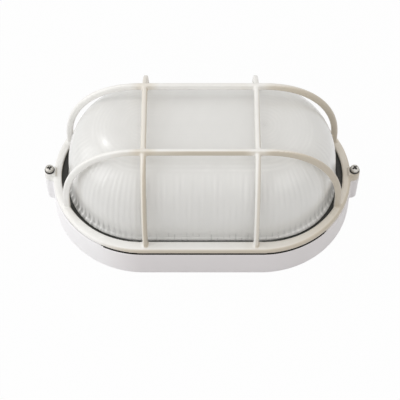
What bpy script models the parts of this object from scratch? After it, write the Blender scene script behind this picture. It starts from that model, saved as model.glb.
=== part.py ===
"""Oval die-cast bulkhead wall light with a cast guard over a ribbed glass.

Metres. The back of the base lies in z = 0, +Z points out of the wall and +X along the light.
Run with: blender --background --python part.py
"""
import math

import bmesh
import bpy
from mathutils import Matrix, Vector

MM = 0.001

# Gap kept between pieces that touch, and between a screw and its hole
CLEARANCE = 0.3 * MM
# How far a piece that is cast in one with another runs into it
OVERLAP = 0.6 * MM

# Body outline: straight sides and round ends
BODY_LENGTH = 210.0 * MM
BODY_WIDTH = 129.0 * MM
RIM_HEIGHT = 24.0 * MM
RIM_LAND = 4.0 * MM
EDGE_ROUND = 0.9 * MM

# Guard: a ring, four bars and two ears cast in one
TOTAL_DEPTH = 96.0 * MM
SEAM_GAP = 0.9 * MM
RING_HEIGHT = 4.1 * MM
RING_LIP = 2.8 * MM
RING_WIDTH_END = 6.3 * MM
RING_WIDTH_SIDE = 8.1 * MM
RING_INSET = 0.5 * MM
RING_ROUND = 2.4 * MM
BAR_DEPTH = 4.6 * MM
BAR_TOP_WIDTH = 2.4 * MM
BAR_ROOT_WIDTH = 4.0 * MM
BAR_EDGE = 0.6 * MM
LONG_BAR_SPACING = 54.0 * MM
LONG_BAR_STRAIGHT = 82.0 * MM
LONG_BAR_POWER = 2.2
CROSS_BAR_SPACING = 75.6 * MM
CROSS_BAR_STRAIGHT = 44.0 * MM
CROSS_BAR_POWER = 1.87
FOOT_SHIFT = 0.6 * MM
FOOT_FLARE = 1.15
FOOT_HEIGHT = 6.0 * MM
CROSSING_FILLET = 1.2 * MM

# Screwed ears at both ends
EAR_REACH = 1.8 * MM
EAR_RADIUS = 3.9 * MM
EAR_ROOT_WIDTH = 10.4 * MM
EAR_RISE = 2.6 * MM
EAR_FOOT_HEIGHT = 1.0 * MM
EAR_FOOT_ROUND = 1.4 * MM
EAR_DRAFT = 0.4 * MM

# Screws
SCREW_RADIUS = 1.75 * MM
SCREW_HEAD_RADIUS = 3.1 * MM
SCREW_HEAD_HEIGHT = 2.4 * MM
SCREW_RECESS = 1.3 * MM
SCREW_SLOT = 0.8 * MM
BLIND_HOLE_FLOOR = 0.9 * MM
GUARD_SCREW_LENGTH = 22.0 * MM
INNER_SCREW_LENGTH = 6.5 * MM
WASHER_RADIUS = 3.5 * MM
WASHER_THICKNESS = 0.8 * MM

# Gasket, a U-shaped rubber ring that wraps the flange of the glass
GASKET_WALL = 1.5 * MM

# Glass
FLANGE_WIDTH = 4.5 * MM
FLANGE_THICKNESS = 3.0 * MM
GLASS_THICKNESS = 3.2 * MM
GLASS_TO_BAR = 5.4 * MM
GLASS_POWER = 3.4
GLASS_FOOT_FLARE = 1.4 * MM
GLASS_FOOT_HEIGHT = 3.4 * MM
FLUTE_PITCH = 4.0 * MM
FLUTE_DEPTH = 0.9 * MM
FLUTE_TOP_SHARE = 0.74
CROWN_RIB_PITCH = 5.6 * MM
CROWN_RIB_DEPTH = 0.8 * MM
CROWN_CENTRE = 5.0 * MM

# Base casting
FLOOR_THICKNESS = 3.0 * MM
SKIRT_WALL = 3.0 * MM
TUB_WALL = 2.8 * MM
TUB_DRAFT = 1.5 * MM
LEDGE_WIDTH = 9.0 * MM
LEDGE_THICKNESS = 3.2 * MM
POCKET_RIB = 2.0 * MM
POCKET_RIB_SETBACK = 1.5 * MM
SIDE_RIB_X = 28.0 * MM
END_RIB_ANGLE = 42.0
BOSS_RADIUS = 4.2 * MM
BRACKET_BOSS_HEIGHT = 4.0 * MM
FIXING_SPACING = 66.0 * MM
FIXING_SLOT_WIDTH = 5.5 * MM
FIXING_SLOT_LENGTH = 12.0 * MM
CABLE_HOLE_RADIUS = 8.5 * MM
CABLE_HOLE_END = 67.0 * MM

# Cable grommet
GROMMET_WALL = 4.0 * MM
GROMMET_FLANGE = 2.0 * MM
GROMMET_FLANGE_HEIGHT = 1.4 * MM

# Lamp: frosted, 60 mm across and 105 mm long, on a 26 mm screw cap
LAMP_DIAMETER = 60.0 * MM
LAMP_LENGTH = 105.0 * MM
LAMP_CAP_RADIUS = 13.1 * MM
LAMP_CAP_LENGTH = 22.0 * MM
LAMP_TIP_RADIUS = 4.8 * MM
LAMP_TIP_LENGTH = 4.5 * MM
LAMP_NECK_RADIUS = 15.5 * MM

# Lampholder
SHELL_WALL = 0.8 * MM
SHELL_LENGTH = 18.0 * MM
HOLDER_WALL = 4.4 * MM
HOLDER_TAPER = 1.8 * MM
HOLDER_BASE = 17.0 * MM
HOLDER_MOUTH_GAP = 3.0 * MM
CONTACT_RADIUS = 5.0 * MM
CONTACT_THICKNESS = 0.9 * MM
CONTACT_BUTTON = 1.5 * MM
HOLDER_SCREW_SPACING = 20.0 * MM

# Bracket, folded from one strip of sheet steel
BRACKET_SHEET = 1.6 * MM
BRACKET_WIDTH = 30.0 * MM
BRACKET_FOOT = 30.0 * MM
BRACKET_BEND = 1.5 * MM
BRACKET_CORNER = 5.0 * MM
BRACKET_END_GAP = 12.0 * MM
BRACKET_SCREW_SPACING = 18.0 * MM
BRACKET_SCREW_SETBACK = 9.0 * MM

# Terminal block
BLOCK_POLE_SPACING = 16.0 * MM
BLOCK_LENGTH = 26.0 * MM
BLOCK_DEPTH = 16.0 * MM
BLOCK_HEIGHT = 14.0 * MM
BLOCK_CHAMFER = 1.5 * MM
BLOCK_END_INSET = 47.0 * MM
BLOCK_SIDE_INSET = 18.5 * MM
BLOCK_BOSS_HEIGHT = 3.0 * MM
TUBE_RADIUS = 3.1 * MM
TUBE_WALL = 1.2 * MM
TUBE_HEIGHT = 5.5 * MM
TERMINAL_SCREW_RADIUS = 1.3 * MM
TERMINAL_SCREW_SPACING = 8.0 * MM
TERMINAL_SLOT = 0.6 * MM

# Earth terminal
EARTH_INSET = 16.0 * MM
EARTH_BOSS_HEIGHT = 5.0 * MM
EARTH_END = 59.0 * MM

# Internal wires
WIRE_RADIUS = 1.1 * MM
WIRE_STEP = 8.0 * MM
WIRE_DEPTH = 4.0 * MM
WIRE_RISE = 5.0 * MM
WIRE_SLACK = 9.0 * MM

# Size of the cross that an empty shows in the viewport
EMPTY_SIZE = 10.0 * MM

# Facets
OVAL_POINTS = 34
ROUND_POINTS = 16
HEAD_POINTS = 12
SMALL_POINTS = 8
BAR_STEPS = 8
NOSE_STEPS = 6
FOOT_ROUND_STEPS = 3
SHARP_ANGLE = 34.0


def clear_scene():
    """Start from an empty scene."""
    for obj in list(bpy.data.objects):
        bpy.data.objects.remove(obj)


def material(name, colour, roughness, metallic=0.0, transmission=0.0):
    """A Principled material with plain values."""
    mat = bpy.data.materials.new(name)
    mat.use_nodes = True
    shader = mat.node_tree.nodes["Principled BSDF"]
    shader.inputs["Base Color"].default_value = (*colour, 1.0)
    shader.inputs["Roughness"].default_value = roughness
    shader.inputs["Metallic"].default_value = metallic
    shader.inputs["Transmission Weight"].default_value = transmission
    mat.diffuse_color = (*colour, 1.0)
    return mat


def add_object(name, bm, mat, parent=None, location=(0, 0, 0), rotation=(0, 0, 0)):
    """Turn a bmesh into an object with its faces pointing out."""
    bmesh.ops.remove_doubles(bm, verts=bm.verts, dist=1e-7)
    bmesh.ops.recalc_face_normals(bm, faces=bm.faces)
    mesh = bpy.data.meshes.new(name)
    bm.to_mesh(mesh)
    bm.free()
    return place_mesh(name, mesh, mat, parent, location, rotation)


def place_mesh(name, mesh, mat, parent=None, location=(0, 0, 0), rotation=(0, 0, 0)):
    """An object that shows a mesh, shaded smooth across its shallow edges."""
    if mat is not None and not mesh.materials:
        mesh.materials.append(mat)
    mesh.shade_smooth()
    mesh.set_sharp_from_angle(angle=math.radians(SHARP_ANGLE))
    obj = bpy.data.objects.new(name, mesh)
    bpy.context.scene.collection.objects.link(obj)
    obj.location = location
    obj.rotation_euler = rotation
    obj.parent = parent
    return obj


def add_empty(name, location=(0, 0, 0), parent=None):
    """An empty that carries a group of pieces."""
    obj = bpy.data.objects.new(name, None)
    obj.empty_display_size = EMPTY_SIZE
    bpy.context.scene.collection.objects.link(obj)
    obj.location = location
    obj.parent = parent
    return obj


def add_boolean(obj, name, bm, operation):
    """Join a helper shape to an object, or cut it away, with a live Boolean."""
    helper = add_object(name, bm, None, parent=obj.parent)
    helper.hide_render = True
    helper.display_type = "WIRE"
    modifier = obj.modifiers.new(name, "BOOLEAN")
    modifier.operation = operation
    modifier.solver = "EXACT"
    modifier.object = helper
    return helper


def skin(bm, rings, closed=False, capped=True):
    """Faces between rings of points that have the same count."""
    loops = [[bm.verts.new(point) for point in ring] for ring in rings]
    pairs = list(zip(loops, loops[1:]))
    if closed:
        pairs.append((loops[-1], loops[0]))
    for first, second in pairs:
        for index in range(len(first)):
            after = (index + 1) % len(first)
            bm.faces.new((first[index], first[after], second[after], second[index]))
    if not closed and capped:
        bm.faces.new(loops[0])
        bm.faces.new(loops[-1])
    return loops


def zip_loops(bm, first, second, measure):
    """Triangles between two loops of unlike counts, matched by a measure that rises round them."""
    first_marks = measure([vert.co for vert in first])
    second_marks = measure([vert.co for vert in second])
    one = 0
    two = 0
    while one < len(first) or two < len(second):
        next_one = first_marks[one + 1] if one < len(first) else math.inf
        next_two = second_marks[two + 1] if two < len(second) else math.inf
        here = first[one % len(first)]
        there = second[two % len(second)]
        if next_one <= next_two:
            one += 1
            bm.faces.new((here, first[one % len(first)], there))
        else:
            two += 1
            bm.faces.new((here, second[two % len(second)], there))


def share_of_length(points):
    """Each point's share of the way round its loop, ending with 1."""
    marks = [0.0]
    for index, point in enumerate(points):
        after = points[(index + 1) % len(points)]
        marks.append(marks[-1] + (Vector(after) - Vector(point)).length)
    return [mark / marks[-1] for mark in marks]


def turn_of_points(points):
    """Each point's angle round the z axis, rising from the first, ending with a full turn more."""
    marks = [math.atan2(points[0][1], points[0][0])]
    for point in list(points[1:]) + [points[0]]:
        angle = math.atan2(point[1], point[0])
        while angle <= marks[-1]:
            angle += 2 * math.pi
        marks.append(angle)
    return marks


# Outlines are pairs of half length and end radius


def inset(offset):
    """The body's outline moved inwards."""
    return (BODY_LENGTH / 2 - offset, BODY_WIDTH / 2 - offset)


def shrink(outline, offset):
    """Another outline moved inwards."""
    return (outline[0] - offset, outline[1] - offset)


def oval(outline, z, count=OVAL_POINTS):
    """Points round an oval with straight sides, from the start of its right end."""
    half_length, radius = outline
    per_end = count // 2
    points = []
    for end in (0, 1):
        centre = (1 - 2 * end) * (half_length - radius)
        for step in range(per_end):
            angle = math.pi * (end + step / (per_end - 1)) - math.pi / 2
            points.append((centre + radius * math.cos(angle), radius * math.sin(angle), z))
    return points


def oval_station(outline, share):
    """The point and outward normal at a share of the way round an oval, from the same start."""
    half_length, radius = outline
    straight = 2 * (half_length - radius)
    arc = math.pi * radius
    along = (share % 1.0) * 2 * (straight + arc)
    side = 1
    if along >= arc + straight:
        along -= arc + straight
        side = -1
    if along < arc:
        angle = along / radius - math.pi / 2
        point = Vector((straight / 2 + radius * math.cos(angle), radius * math.sin(angle), 0))
        normal = Vector((math.cos(angle), math.sin(angle), 0))
    else:
        point = Vector((straight / 2 - (along - arc), radius, 0))
        normal = Vector((0, 1, 0))
    return point * side, normal * side


def circle(radius, z, count=ROUND_POINTS, centre=(0.0, 0.0)):
    """Points round a circle."""
    points = []
    for step in range(count):
        angle = 2 * math.pi * step / count
        x = centre[0] + radius * math.cos(angle)
        y = centre[1] + radius * math.sin(angle)
        points.append((x, y, z))
    return points


def add_cylinder(bm, radius, low, high, centre, count=SMALL_POINTS, top_radius=None):
    """A closed cylinder or cone along z."""
    top = radius if top_radius is None else top_radius
    skin(bm, [circle(radius, low, count, centre), circle(top, high, count, centre)])


def add_box(bm, low, high, turn=0.0, pivot=(0.0, 0.0)):
    """A closed box between two corners, turned about a vertical axis through the pivot."""
    rotation = Matrix.Rotation(turn, 3, "Z")
    middle = Vector((pivot[0], pivot[1], 0))
    rings = []
    for z in (low[2], high[2]):
        ring = []
        for x, y in ((low[0], low[1]), (high[0], low[1]), (high[0], high[1]), (low[0], high[1])):
            ring.append(rotation @ (Vector((x, y, z)) - middle) + middle)
        rings.append(ring)
    skin(bm, rings)


def turned(bm, profile, count=ROUND_POINTS, closed=False):
    """A turned shape about z from pairs of radius and height."""
    return skin(bm, [circle(radius, z, count) for radius, z in profile], closed=closed)


# Outlines and heights that several pieces share

RIM_INNER = inset(RIM_LAND)
GASKET_OUTER = shrink(RIM_INNER, CLEARANCE)
FLANGE_OUTER = shrink(GASKET_OUTER, GASKET_WALL + CLEARANCE)
GLASS_FOOT = shrink(FLANGE_OUTER, FLANGE_WIDTH)
GLASS_WALL = shrink(GLASS_FOOT, GLASS_FOOT_FLARE)
RING_OPENING = (BODY_LENGTH / 2 - RING_WIDTH_END, BODY_WIDTH / 2 - RING_WIDTH_SIDE)
TUB_INNER = shrink(RIM_INNER, LEDGE_WIDTH)
SKIRT_INNER = inset(SKIRT_WALL)

RING_BOTTOM = RIM_HEIGHT + SEAM_GAP
RING_TOP = RING_BOTTOM + RING_HEIGHT
LIP_UNDERSIDE = RING_TOP - RING_LIP
GASKET_TOP = LIP_UNDERSIDE - CLEARANCE
FLANGE_TOP = GASKET_TOP - GASKET_WALL - CLEARANCE
FLANGE_BOTTOM = FLANGE_TOP - FLANGE_THICKNESS
GASKET_BOTTOM = FLANGE_BOTTOM - CLEARANCE - GASKET_WALL
SEAT_HEIGHT = GASKET_BOTTOM - CLEARANCE
GLASS_CROWN = TOTAL_DEPTH - BAR_DEPTH - GLASS_TO_BAR

EAR_TOP = RING_TOP + EAR_RISE
EAR_AXIS_X = BODY_LENGTH / 2 + EAR_REACH
GUARD_WASHER_Z = EAR_TOP + CLEARANCE
GUARD_HEAD_Z = GUARD_WASHER_Z + WASHER_THICKNESS + CLEARANCE
HOLE_RADIUS = SCREW_RADIUS + CLEARANCE

# Places of the inner parts
CHAMBER_TOP = GLASS_CROWN - GLASS_THICKNESS
LAMP_AXIS_Z = (FLOOR_THICKNESS + CHAMBER_TOP) / 2
BRACKET_BACK_X = BRACKET_END_GAP - TUB_INNER[0]
HOLDER_BACK_X = BRACKET_BACK_X + BRACKET_SHEET + CLEARANCE
HOLDER_BORE_X = HOLDER_BACK_X + HOLDER_BASE
LAMP_TIP_X = HOLDER_BORE_X + CONTACT_THICKNESS + CONTACT_BUTTON + 2 * CLEARANCE
SHELL_OUTER = LAMP_CAP_RADIUS + CLEARANCE + SHELL_WALL
HOLDER_BORE_RADIUS = SHELL_OUTER + CLEARANCE
HOLDER_RADIUS = HOLDER_BORE_RADIUS + HOLDER_WALL
HOLDER_LENGTH = HOLDER_BASE + LAMP_TIP_LENGTH + LAMP_CAP_LENGTH + HOLDER_MOUTH_GAP
BRACKET_FOOT_Z = FLOOR_THICKNESS + BRACKET_BOSS_HEIGHT + CLEARANCE
BRACKET_SCREW_X = BRACKET_BACK_X + BRACKET_FOOT - BRACKET_SCREW_SETBACK
BLOCK_X = BLOCK_END_INSET - TUB_INNER[0]
BLOCK_Y = TUB_INNER[1] - BLOCK_SIDE_INSET
BLOCK_BOTTOM = FLOOR_THICKNESS + BLOCK_BOSS_HEIGHT + CLEARANCE
TUBE_Z = BLOCK_BOTTOM + TUBE_HEIGHT
CABLE_HOLE_X = BODY_LENGTH / 2 - CABLE_HOLE_END
EARTH_X = BODY_LENGTH / 2 - EARTH_END
EARTH_Y = EARTH_INSET - TUB_INNER[1]
SLOT_Y = FIXING_SPACING / 2
WIRE_HOLE_X = HOLDER_BACK_X + HOLDER_BASE / 2


def ear_outline(axis_x, radius, root_x, root_width, z):
    """An ear seen from the front: a round nose about the screw and a wider root in the casting."""
    points = []
    for step in range(NOSE_STEPS + 1):
        angle = math.pi * step / NOSE_STEPS - math.pi / 2
        points.append((axis_x + radius * math.cos(angle), radius * math.sin(angle), z))
    points.append((root_x, root_width / 2, z))
    points.append((root_x, -root_width / 2, z))
    return points


def mirrored(points, side):
    """The same points at the left end of the light when side is -1."""
    return [(side * x, y, z) for x, y, z in points]


def make_base(mat, parent):
    """The cast base: floor, tub, seat for the gasket, outer skirt, ears, bosses and holes."""
    tub_outer_top = shrink(TUB_INNER, -TUB_WALL)
    tub_inner_low = shrink(TUB_INNER, TUB_DRAFT)
    tub_fillet = shrink(tub_inner_low, TUB_DRAFT)
    pocket_top = SEAT_HEIGHT - LEDGE_THICKNESS
    bm = bmesh.new()
    skin(bm, [
        oval(shrink(tub_inner_low, -TUB_WALL), 0.0),
        oval(tub_outer_top, pocket_top),
        oval(SKIRT_INNER, pocket_top),
        oval(shrink(SKIRT_INNER, -OVERLAP), 0.0),
        oval(inset(EDGE_ROUND), 0.0),
        oval(inset(0.0), EDGE_ROUND),
        oval(inset(0.0), RIM_HEIGHT - EDGE_ROUND / 2),
        oval(inset(EDGE_ROUND / 2), RIM_HEIGHT),
        oval(RIM_INNER, RIM_HEIGHT),
        oval(RIM_INNER, SEAT_HEIGHT),
        oval(TUB_INNER, SEAT_HEIGHT),
        oval(tub_inner_low, FLOOR_THICKNESS + TUB_DRAFT),
        oval(tub_fillet, FLOOR_THICKNESS),
    ])
    base = add_object("base_housing", bm, mat, parent)

    bm = bmesh.new()
    add_base_ears(bm)
    add_pocket_ribs(bm, pocket_top)
    for x, y, height in boss_places():
        add_cylinder(bm, BOSS_RADIUS, FLOOR_THICKNESS - OVERLAP, FLOOR_THICKNESS + height, (x, y))
    add_boolean(base, "base_additions", bm, "UNION")

    bm = bmesh.new()
    for side in (-1, 1):
        screw_end = GUARD_HEAD_Z - GUARD_SCREW_LENGTH - 2 * CLEARANCE
        centre = (side * EAR_AXIS_X, 0.0)
        add_cylinder(bm, HOLE_RADIUS, screw_end, RIM_HEIGHT + OVERLAP, centre)
        add_slot(bm, 0.0, side * SLOT_Y)
    for x, y, height in boss_places():
        add_cylinder(bm, HOLE_RADIUS, BLIND_HOLE_FLOOR, FLOOR_THICKNESS + height + OVERLAP, (x, y))
    counterbore = GROMMET_FLANGE_HEIGHT + 2 * CLEARANCE
    wide = CABLE_HOLE_RADIUS + GROMMET_FLANGE + CLEARANCE
    profile = [(wide, -OVERLAP), (wide, counterbore), (CABLE_HOLE_RADIUS, counterbore),
               (CABLE_HOLE_RADIUS, FLOOR_THICKNESS + OVERLAP)]
    skin(bm, [circle(radius, z, ROUND_POINTS, (CABLE_HOLE_X, 0.0)) for radius, z in profile])
    add_boolean(base, "base_holes", bm, "DIFFERENCE")
    return base


def boss_places():
    """Centre and height of each boss that stands on the floor of the tub."""
    places = []
    for side in (-1, 1):
        places.append((BRACKET_SCREW_X, side * BRACKET_SCREW_SPACING / 2, BRACKET_BOSS_HEIGHT))
    places.append((BLOCK_X, BLOCK_Y, BLOCK_BOSS_HEIGHT))
    places.append((EARTH_X, EARTH_Y, EARTH_BOSS_HEIGHT))
    return places


def add_base_ears(bm):
    """Two tapering ears that carry the threads of the guard's screws."""
    root_x = BODY_LENGTH / 2 - SKIRT_WALL + OVERLAP
    levels = [(RIM_HEIGHT, 0.0)]
    for step in range(FOOT_ROUND_STEPS + 1):
        angle = math.pi / 2 * step / FOOT_ROUND_STEPS
        z = EAR_FOOT_HEIGHT + EAR_FOOT_ROUND * (1 - math.sin(angle))
        levels.append((z, EAR_DRAFT + EAR_FOOT_ROUND * (1 - math.cos(angle))))
    for side in (-1, 1):
        rings = []
        for z, taper in levels:
            width = EAR_ROOT_WIDTH - 2 * taper
            outline = ear_outline(EAR_AXIS_X, EAR_RADIUS - taper, root_x, width, z)
            rings.append(mirrored(outline, side))
        skin(bm, rings)


def add_pocket_ribs(bm, pocket_top):
    """Thin walls across the moulded pocket between the tub and the skirt, seen from behind."""
    half = POCKET_RIB / 2
    inner = TUB_INNER[1] - TUB_DRAFT + TUB_WALL - OVERLAP
    outer = SKIRT_INNER[1] + OVERLAP
    low = POCKET_RIB_SETBACK
    high = pocket_top + OVERLAP
    for side in (-1, 1):
        for x in (-SIDE_RIB_X, SIDE_RIB_X):
            near, far = sorted((side * inner, side * outer))
            add_box(bm, (x - half, near, low), (x + half, far, high))
        centre = side * (BODY_LENGTH - BODY_WIDTH) / 2
        for angle in (-END_RIB_ANGLE, END_RIB_ANGLE):
            turn = math.radians(angle) + (0.0 if side > 0 else math.pi)
            corner = (centre + inner, -half, low)
            opposite = (centre + outer, half, high)
            add_box(bm, corner, opposite, turn, (centre, 0.0))


def add_slot(bm, x, y):
    """A slotted hole for a wall screw, straight through the floor."""
    radius = FIXING_SLOT_WIDTH / 2
    outline = (FIXING_SLOT_LENGTH / 2, radius)
    rings = []
    for z in (-OVERLAP, FLOOR_THICKNESS + OVERLAP):
        rings.append([(px + x, py + y, pz) for px, py, pz in oval(outline, z, 12)])
    skin(bm, rings)


def make_gasket(mat, parent):
    """The rubber gasket, a U section open towards the lamp that holds the edge of the glass."""
    lip_outline = shrink(GLASS_FOOT, -CLEARANCE)
    slot_outline = shrink(GASKET_OUTER, GASKET_WALL)
    bm = bmesh.new()
    skin(bm, [
        oval(GASKET_OUTER, GASKET_BOTTOM),
        oval(GASKET_OUTER, GASKET_TOP),
        oval(lip_outline, GASKET_TOP),
        oval(lip_outline, GASKET_TOP - GASKET_WALL),
        oval(slot_outline, GASKET_TOP - GASKET_WALL),
        oval(slot_outline, GASKET_BOTTOM + GASKET_WALL),
        oval(lip_outline, GASKET_BOTTOM + GASKET_WALL),
        oval(lip_outline, GASKET_BOTTOM),
    ], closed=True)
    return add_object("glass_gasket", bm, mat, parent)


def dome_radius(radius, height, share):
    """The radius of the dome at a share of its height, and that height."""
    return radius * (1.0 - share ** GLASS_POWER) ** (1.0 / GLASS_POWER), height * share


def make_glass(mat, parent):
    """The pressed glass: flange, fluted side wall and a crown with concentric ribs inside."""
    bm = bmesh.new()
    wall_length, wall_radius = GLASS_WALL
    half_straight = wall_length - wall_radius
    spring = FLANGE_TOP
    rise = GLASS_CROWN - spring
    outer_rings = [
        oval(FLANGE_OUTER, FLANGE_BOTTOM),
        oval(FLANGE_OUTER, FLANGE_TOP),
        oval(GLASS_FOOT, FLANGE_TOP),
        oval(GLASS_FOOT, GASKET_TOP),
        oval(shrink(GLASS_FOOT, GLASS_FOOT_FLARE * 0.75), GASKET_TOP + GLASS_FOOT_HEIGHT * 0.4),
        oval(GLASS_WALL, GASKET_TOP + GLASS_FOOT_HEIGHT),
    ]
    for share in (0.45, 0.66, 0.8, 0.9, 0.96, 0.993):
        radius, z = dome_radius(wall_radius, rise, share)
        outer_rings.append(oval((half_straight + radius, radius), spring + z))
    crown_radius = CROWN_CENTRE
    outer_rings.append(oval((half_straight + crown_radius, crown_radius), GLASS_CROWN))
    outer = skin(bm, outer_rings, capped=False)
    bm.faces.new(outer[-1])

    inner_radius = wall_radius - GLASS_THICKNESS
    mouth_outline = (half_straight + inner_radius, inner_radius)
    inner_rise = CHAMBER_TOP - spring
    perimeter = 4 * half_straight + 2 * math.pi * inner_radius
    flute_count = round(perimeter / FLUTE_PITCH)
    flute_rings = []
    for share in (0.02, FLUTE_TOP_SHARE * 0.6, FLUTE_TOP_SHARE):
        radius, z = dome_radius(inner_radius, inner_rise, share)
        flute_rings.append(fluted(half_straight, radius, spring + z, flute_count))
    flutes = skin(bm, flute_rings, capped=False)

    rib_rings = crown_ribs(half_straight, inner_radius, inner_rise, spring)
    ribs = skin(bm, rib_rings, capped=False)
    bm.faces.new(ribs[-1])
    mouth = [bm.verts.new(point) for point in oval(mouth_outline, FLANGE_BOTTOM)]
    for index in range(len(mouth)):
        after = (index + 1) % len(mouth)
        bm.faces.new((outer[0][index], outer[0][after], mouth[after], mouth[index]))
    zip_loops(bm, mouth, flutes[0], share_of_length)
    zip_loops(bm, flutes[-1], ribs[0], share_of_length)
    return add_object("glass_diffuser", bm, mat, parent)


def fluted(half_straight, radius, z, count):
    """A ring of points that runs from ridge to hollow round the inside of the wall."""
    points = []
    for step in range(2 * count):
        point, normal = oval_station((half_straight + radius, radius), step / (2 * count))
        depth = FLUTE_DEPTH if step % 2 else 0.0
        points.append((point.x - normal.x * depth, point.y - normal.y * depth, z))
    return points


def crown_ribs(half_straight, inner_radius, inner_rise, spring):
    """Rings of ridges and hollows that run round the crown, one inside the other."""
    start_radius, _ = dome_radius(inner_radius, inner_rise, FLUTE_TOP_SHARE)
    start_radius -= CROWN_RIB_PITCH / 2
    rib_count = int((start_radius - CROWN_CENTRE) / CROWN_RIB_PITCH)
    rings = []
    for step in range(2 * rib_count + 1):
        radius = start_radius - step * CROWN_RIB_PITCH / 2
        share = (1.0 - (radius / inner_radius) ** GLASS_POWER) ** (1.0 / GLASS_POWER)
        depth = CROWN_RIB_DEPTH if step % 2 else 0.0
        rings.append(oval((half_straight + radius, radius), spring + inner_rise * share - depth))
    return rings


def bar_section():
    """Half widths across the bar and depths below its outer face, all the way round."""
    top = BAR_TOP_WIDTH / 2
    root = BAR_ROOT_WIDTH / 2
    right = [(top - BAR_EDGE, 0.0), (top, BAR_EDGE), (root, BAR_DEPTH)]
    left = [(-across, depth) for across, depth in reversed(right)]
    return right + left


def bar_path(straight, foot, power, foot_z):
    """Stations along half a bar's outer face, from its middle down to its foot in the ring."""
    start = straight / 2
    foot_top = foot_z + FOOT_HEIGHT
    stations = [(0.0, TOTAL_DEPTH), (start, TOTAL_DEPTH)]
    for step in range(1, BAR_STEPS + 1):
        angle = math.pi / 2 * step / BAR_STEPS
        along = start + (foot - start) * math.sin(angle) ** (2.0 / power)
        height = foot_top + (TOTAL_DEPTH - foot_top) * max(math.cos(angle), 0.0) ** (2.0 / power)
        stations.append((along, height))
    stations.append((foot, foot_z + FOOT_HEIGHT * 0.3))
    stations.append((foot, foot_z - RING_LIP / 2))
    return stations


def add_bar(bm, half_path, to_world):
    """Sweep the bar's section along a path and its mirror image."""
    path = [(-along, height) for along, height in reversed(half_path[1:])] + half_path
    rings = []
    for index, (along, height) in enumerate(path):
        before = path[max(index - 1, 0)]
        after = path[min(index + 1, len(path) - 1)]
        tangent = Vector((after[0] - before[0], after[1] - before[1])).normalized()
        inward = Vector((tangent.y, -tangent.x))
        flare = FOOT_FLARE if index in (0, len(path) - 1) else 1.0
        ring = []
        for across, depth in bar_section():
            centred = (depth - BAR_DEPTH / 2) * flare + BAR_DEPTH / 2
            u = along + inward.x * centred
            z = height + inward.y * centred
            ring.append(to_world(u, across * flare, z))
        rings.append(ring)
    skin(bm, rings)


def land_middle_end(y):
    """The x of the middle of the ring's flat top at a given y, on the round end."""
    outer_length, outer_radius = inset(RING_ROUND)
    inner_length, inner_radius = RING_OPENING
    outer_x = outer_length - outer_radius + math.sqrt(outer_radius ** 2 - y ** 2)
    inner_x = inner_length - inner_radius + math.sqrt(inner_radius ** 2 - y ** 2)
    return (outer_x + inner_x) / 2


def make_guard(mat, parent):
    """The cast guard: ring with a lip over the gasket, two long bars, two cross bars and ears."""
    bm = bmesh.new()
    skin(bm, [
        oval(inset(RING_INSET), RING_BOTTOM),
        oval(inset(RING_INSET), RING_TOP - RING_ROUND),
        oval(inset(RING_INSET + RING_ROUND * 0.29), RING_TOP - RING_ROUND * 0.29),
        oval(inset(RING_INSET + RING_ROUND), RING_TOP),
        oval(shrink(RING_OPENING, -BAR_EDGE), RING_TOP),
        oval(RING_OPENING, RING_TOP - BAR_EDGE),
        oval(RING_OPENING, LIP_UNDERSIDE),
        oval(RIM_INNER, LIP_UNDERSIDE),
        oval(RIM_INNER, RING_BOTTOM),
    ], closed=True)
    guard = add_object("guard", bm, mat, parent)

    bm = bmesh.new()
    long_y = LONG_BAR_SPACING / 2
    foot = land_middle_end(long_y) + BAR_DEPTH / 2 - FOOT_SHIFT
    path = bar_path(LONG_BAR_STRAIGHT, foot, LONG_BAR_POWER, RING_TOP)
    for side in (-1, 1):
        add_bar(bm, path, lambda u, v, z, s=side: (u, s * long_y + v, z))
    add_boolean(guard, "guard_long_bars", bm, "UNION")

    bm = bmesh.new()
    cross_x = CROSS_BAR_SPACING / 2
    land_middle = (BODY_WIDTH / 2 - RING_ROUND + RING_OPENING[1]) / 2
    foot = land_middle + BAR_DEPTH / 2 - FOOT_SHIFT
    path = bar_path(CROSS_BAR_STRAIGHT, foot, CROSS_BAR_POWER, RING_TOP)
    for side in (-1, 1):
        add_bar(bm, path, lambda u, v, z, s=side: (s * cross_x + v, u, z))
    add_boolean(guard, "guard_cross_bars", bm, "UNION")

    bm = bmesh.new()
    for x in (-cross_x, cross_x):
        for y in (-long_y, long_y):
            add_crossing(bm, x, y)
    add_guard_ears(bm)
    add_boolean(guard, "guard_fillets_and_ears", bm, "UNION")

    bm = bmesh.new()
    for side in (-1, 1):
        centre = (side * EAR_AXIS_X, 0.0)
        add_cylinder(bm, HOLE_RADIUS, RING_BOTTOM - OVERLAP, EAR_TOP + OVERLAP, centre, HEAD_POINTS)
    add_boolean(guard, "guard_holes", bm, "DIFFERENCE")
    return guard


def add_crossing(bm, x, y):
    """The small fillets in the four corners where two bars cross."""
    levels = (
        (TOTAL_DEPTH - BAR_DEPTH + BAR_EDGE, BAR_ROOT_WIDTH / 2 + CROSSING_FILLET),
        (TOTAL_DEPTH - BAR_EDGE * 1.5, BAR_TOP_WIDTH / 2 + CROSSING_FILLET / 2),
    )
    rings = []
    for z, reach in levels:
        near = reach * 0.6
        ring = [(reach, -near), (reach, near), (near, reach), (-near, reach),
                (-reach, near), (-reach, -near), (-near, -reach), (near, -reach)]
        rings.append([(x + px, y + py, z) for px, py in ring])
    skin(bm, rings)


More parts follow.
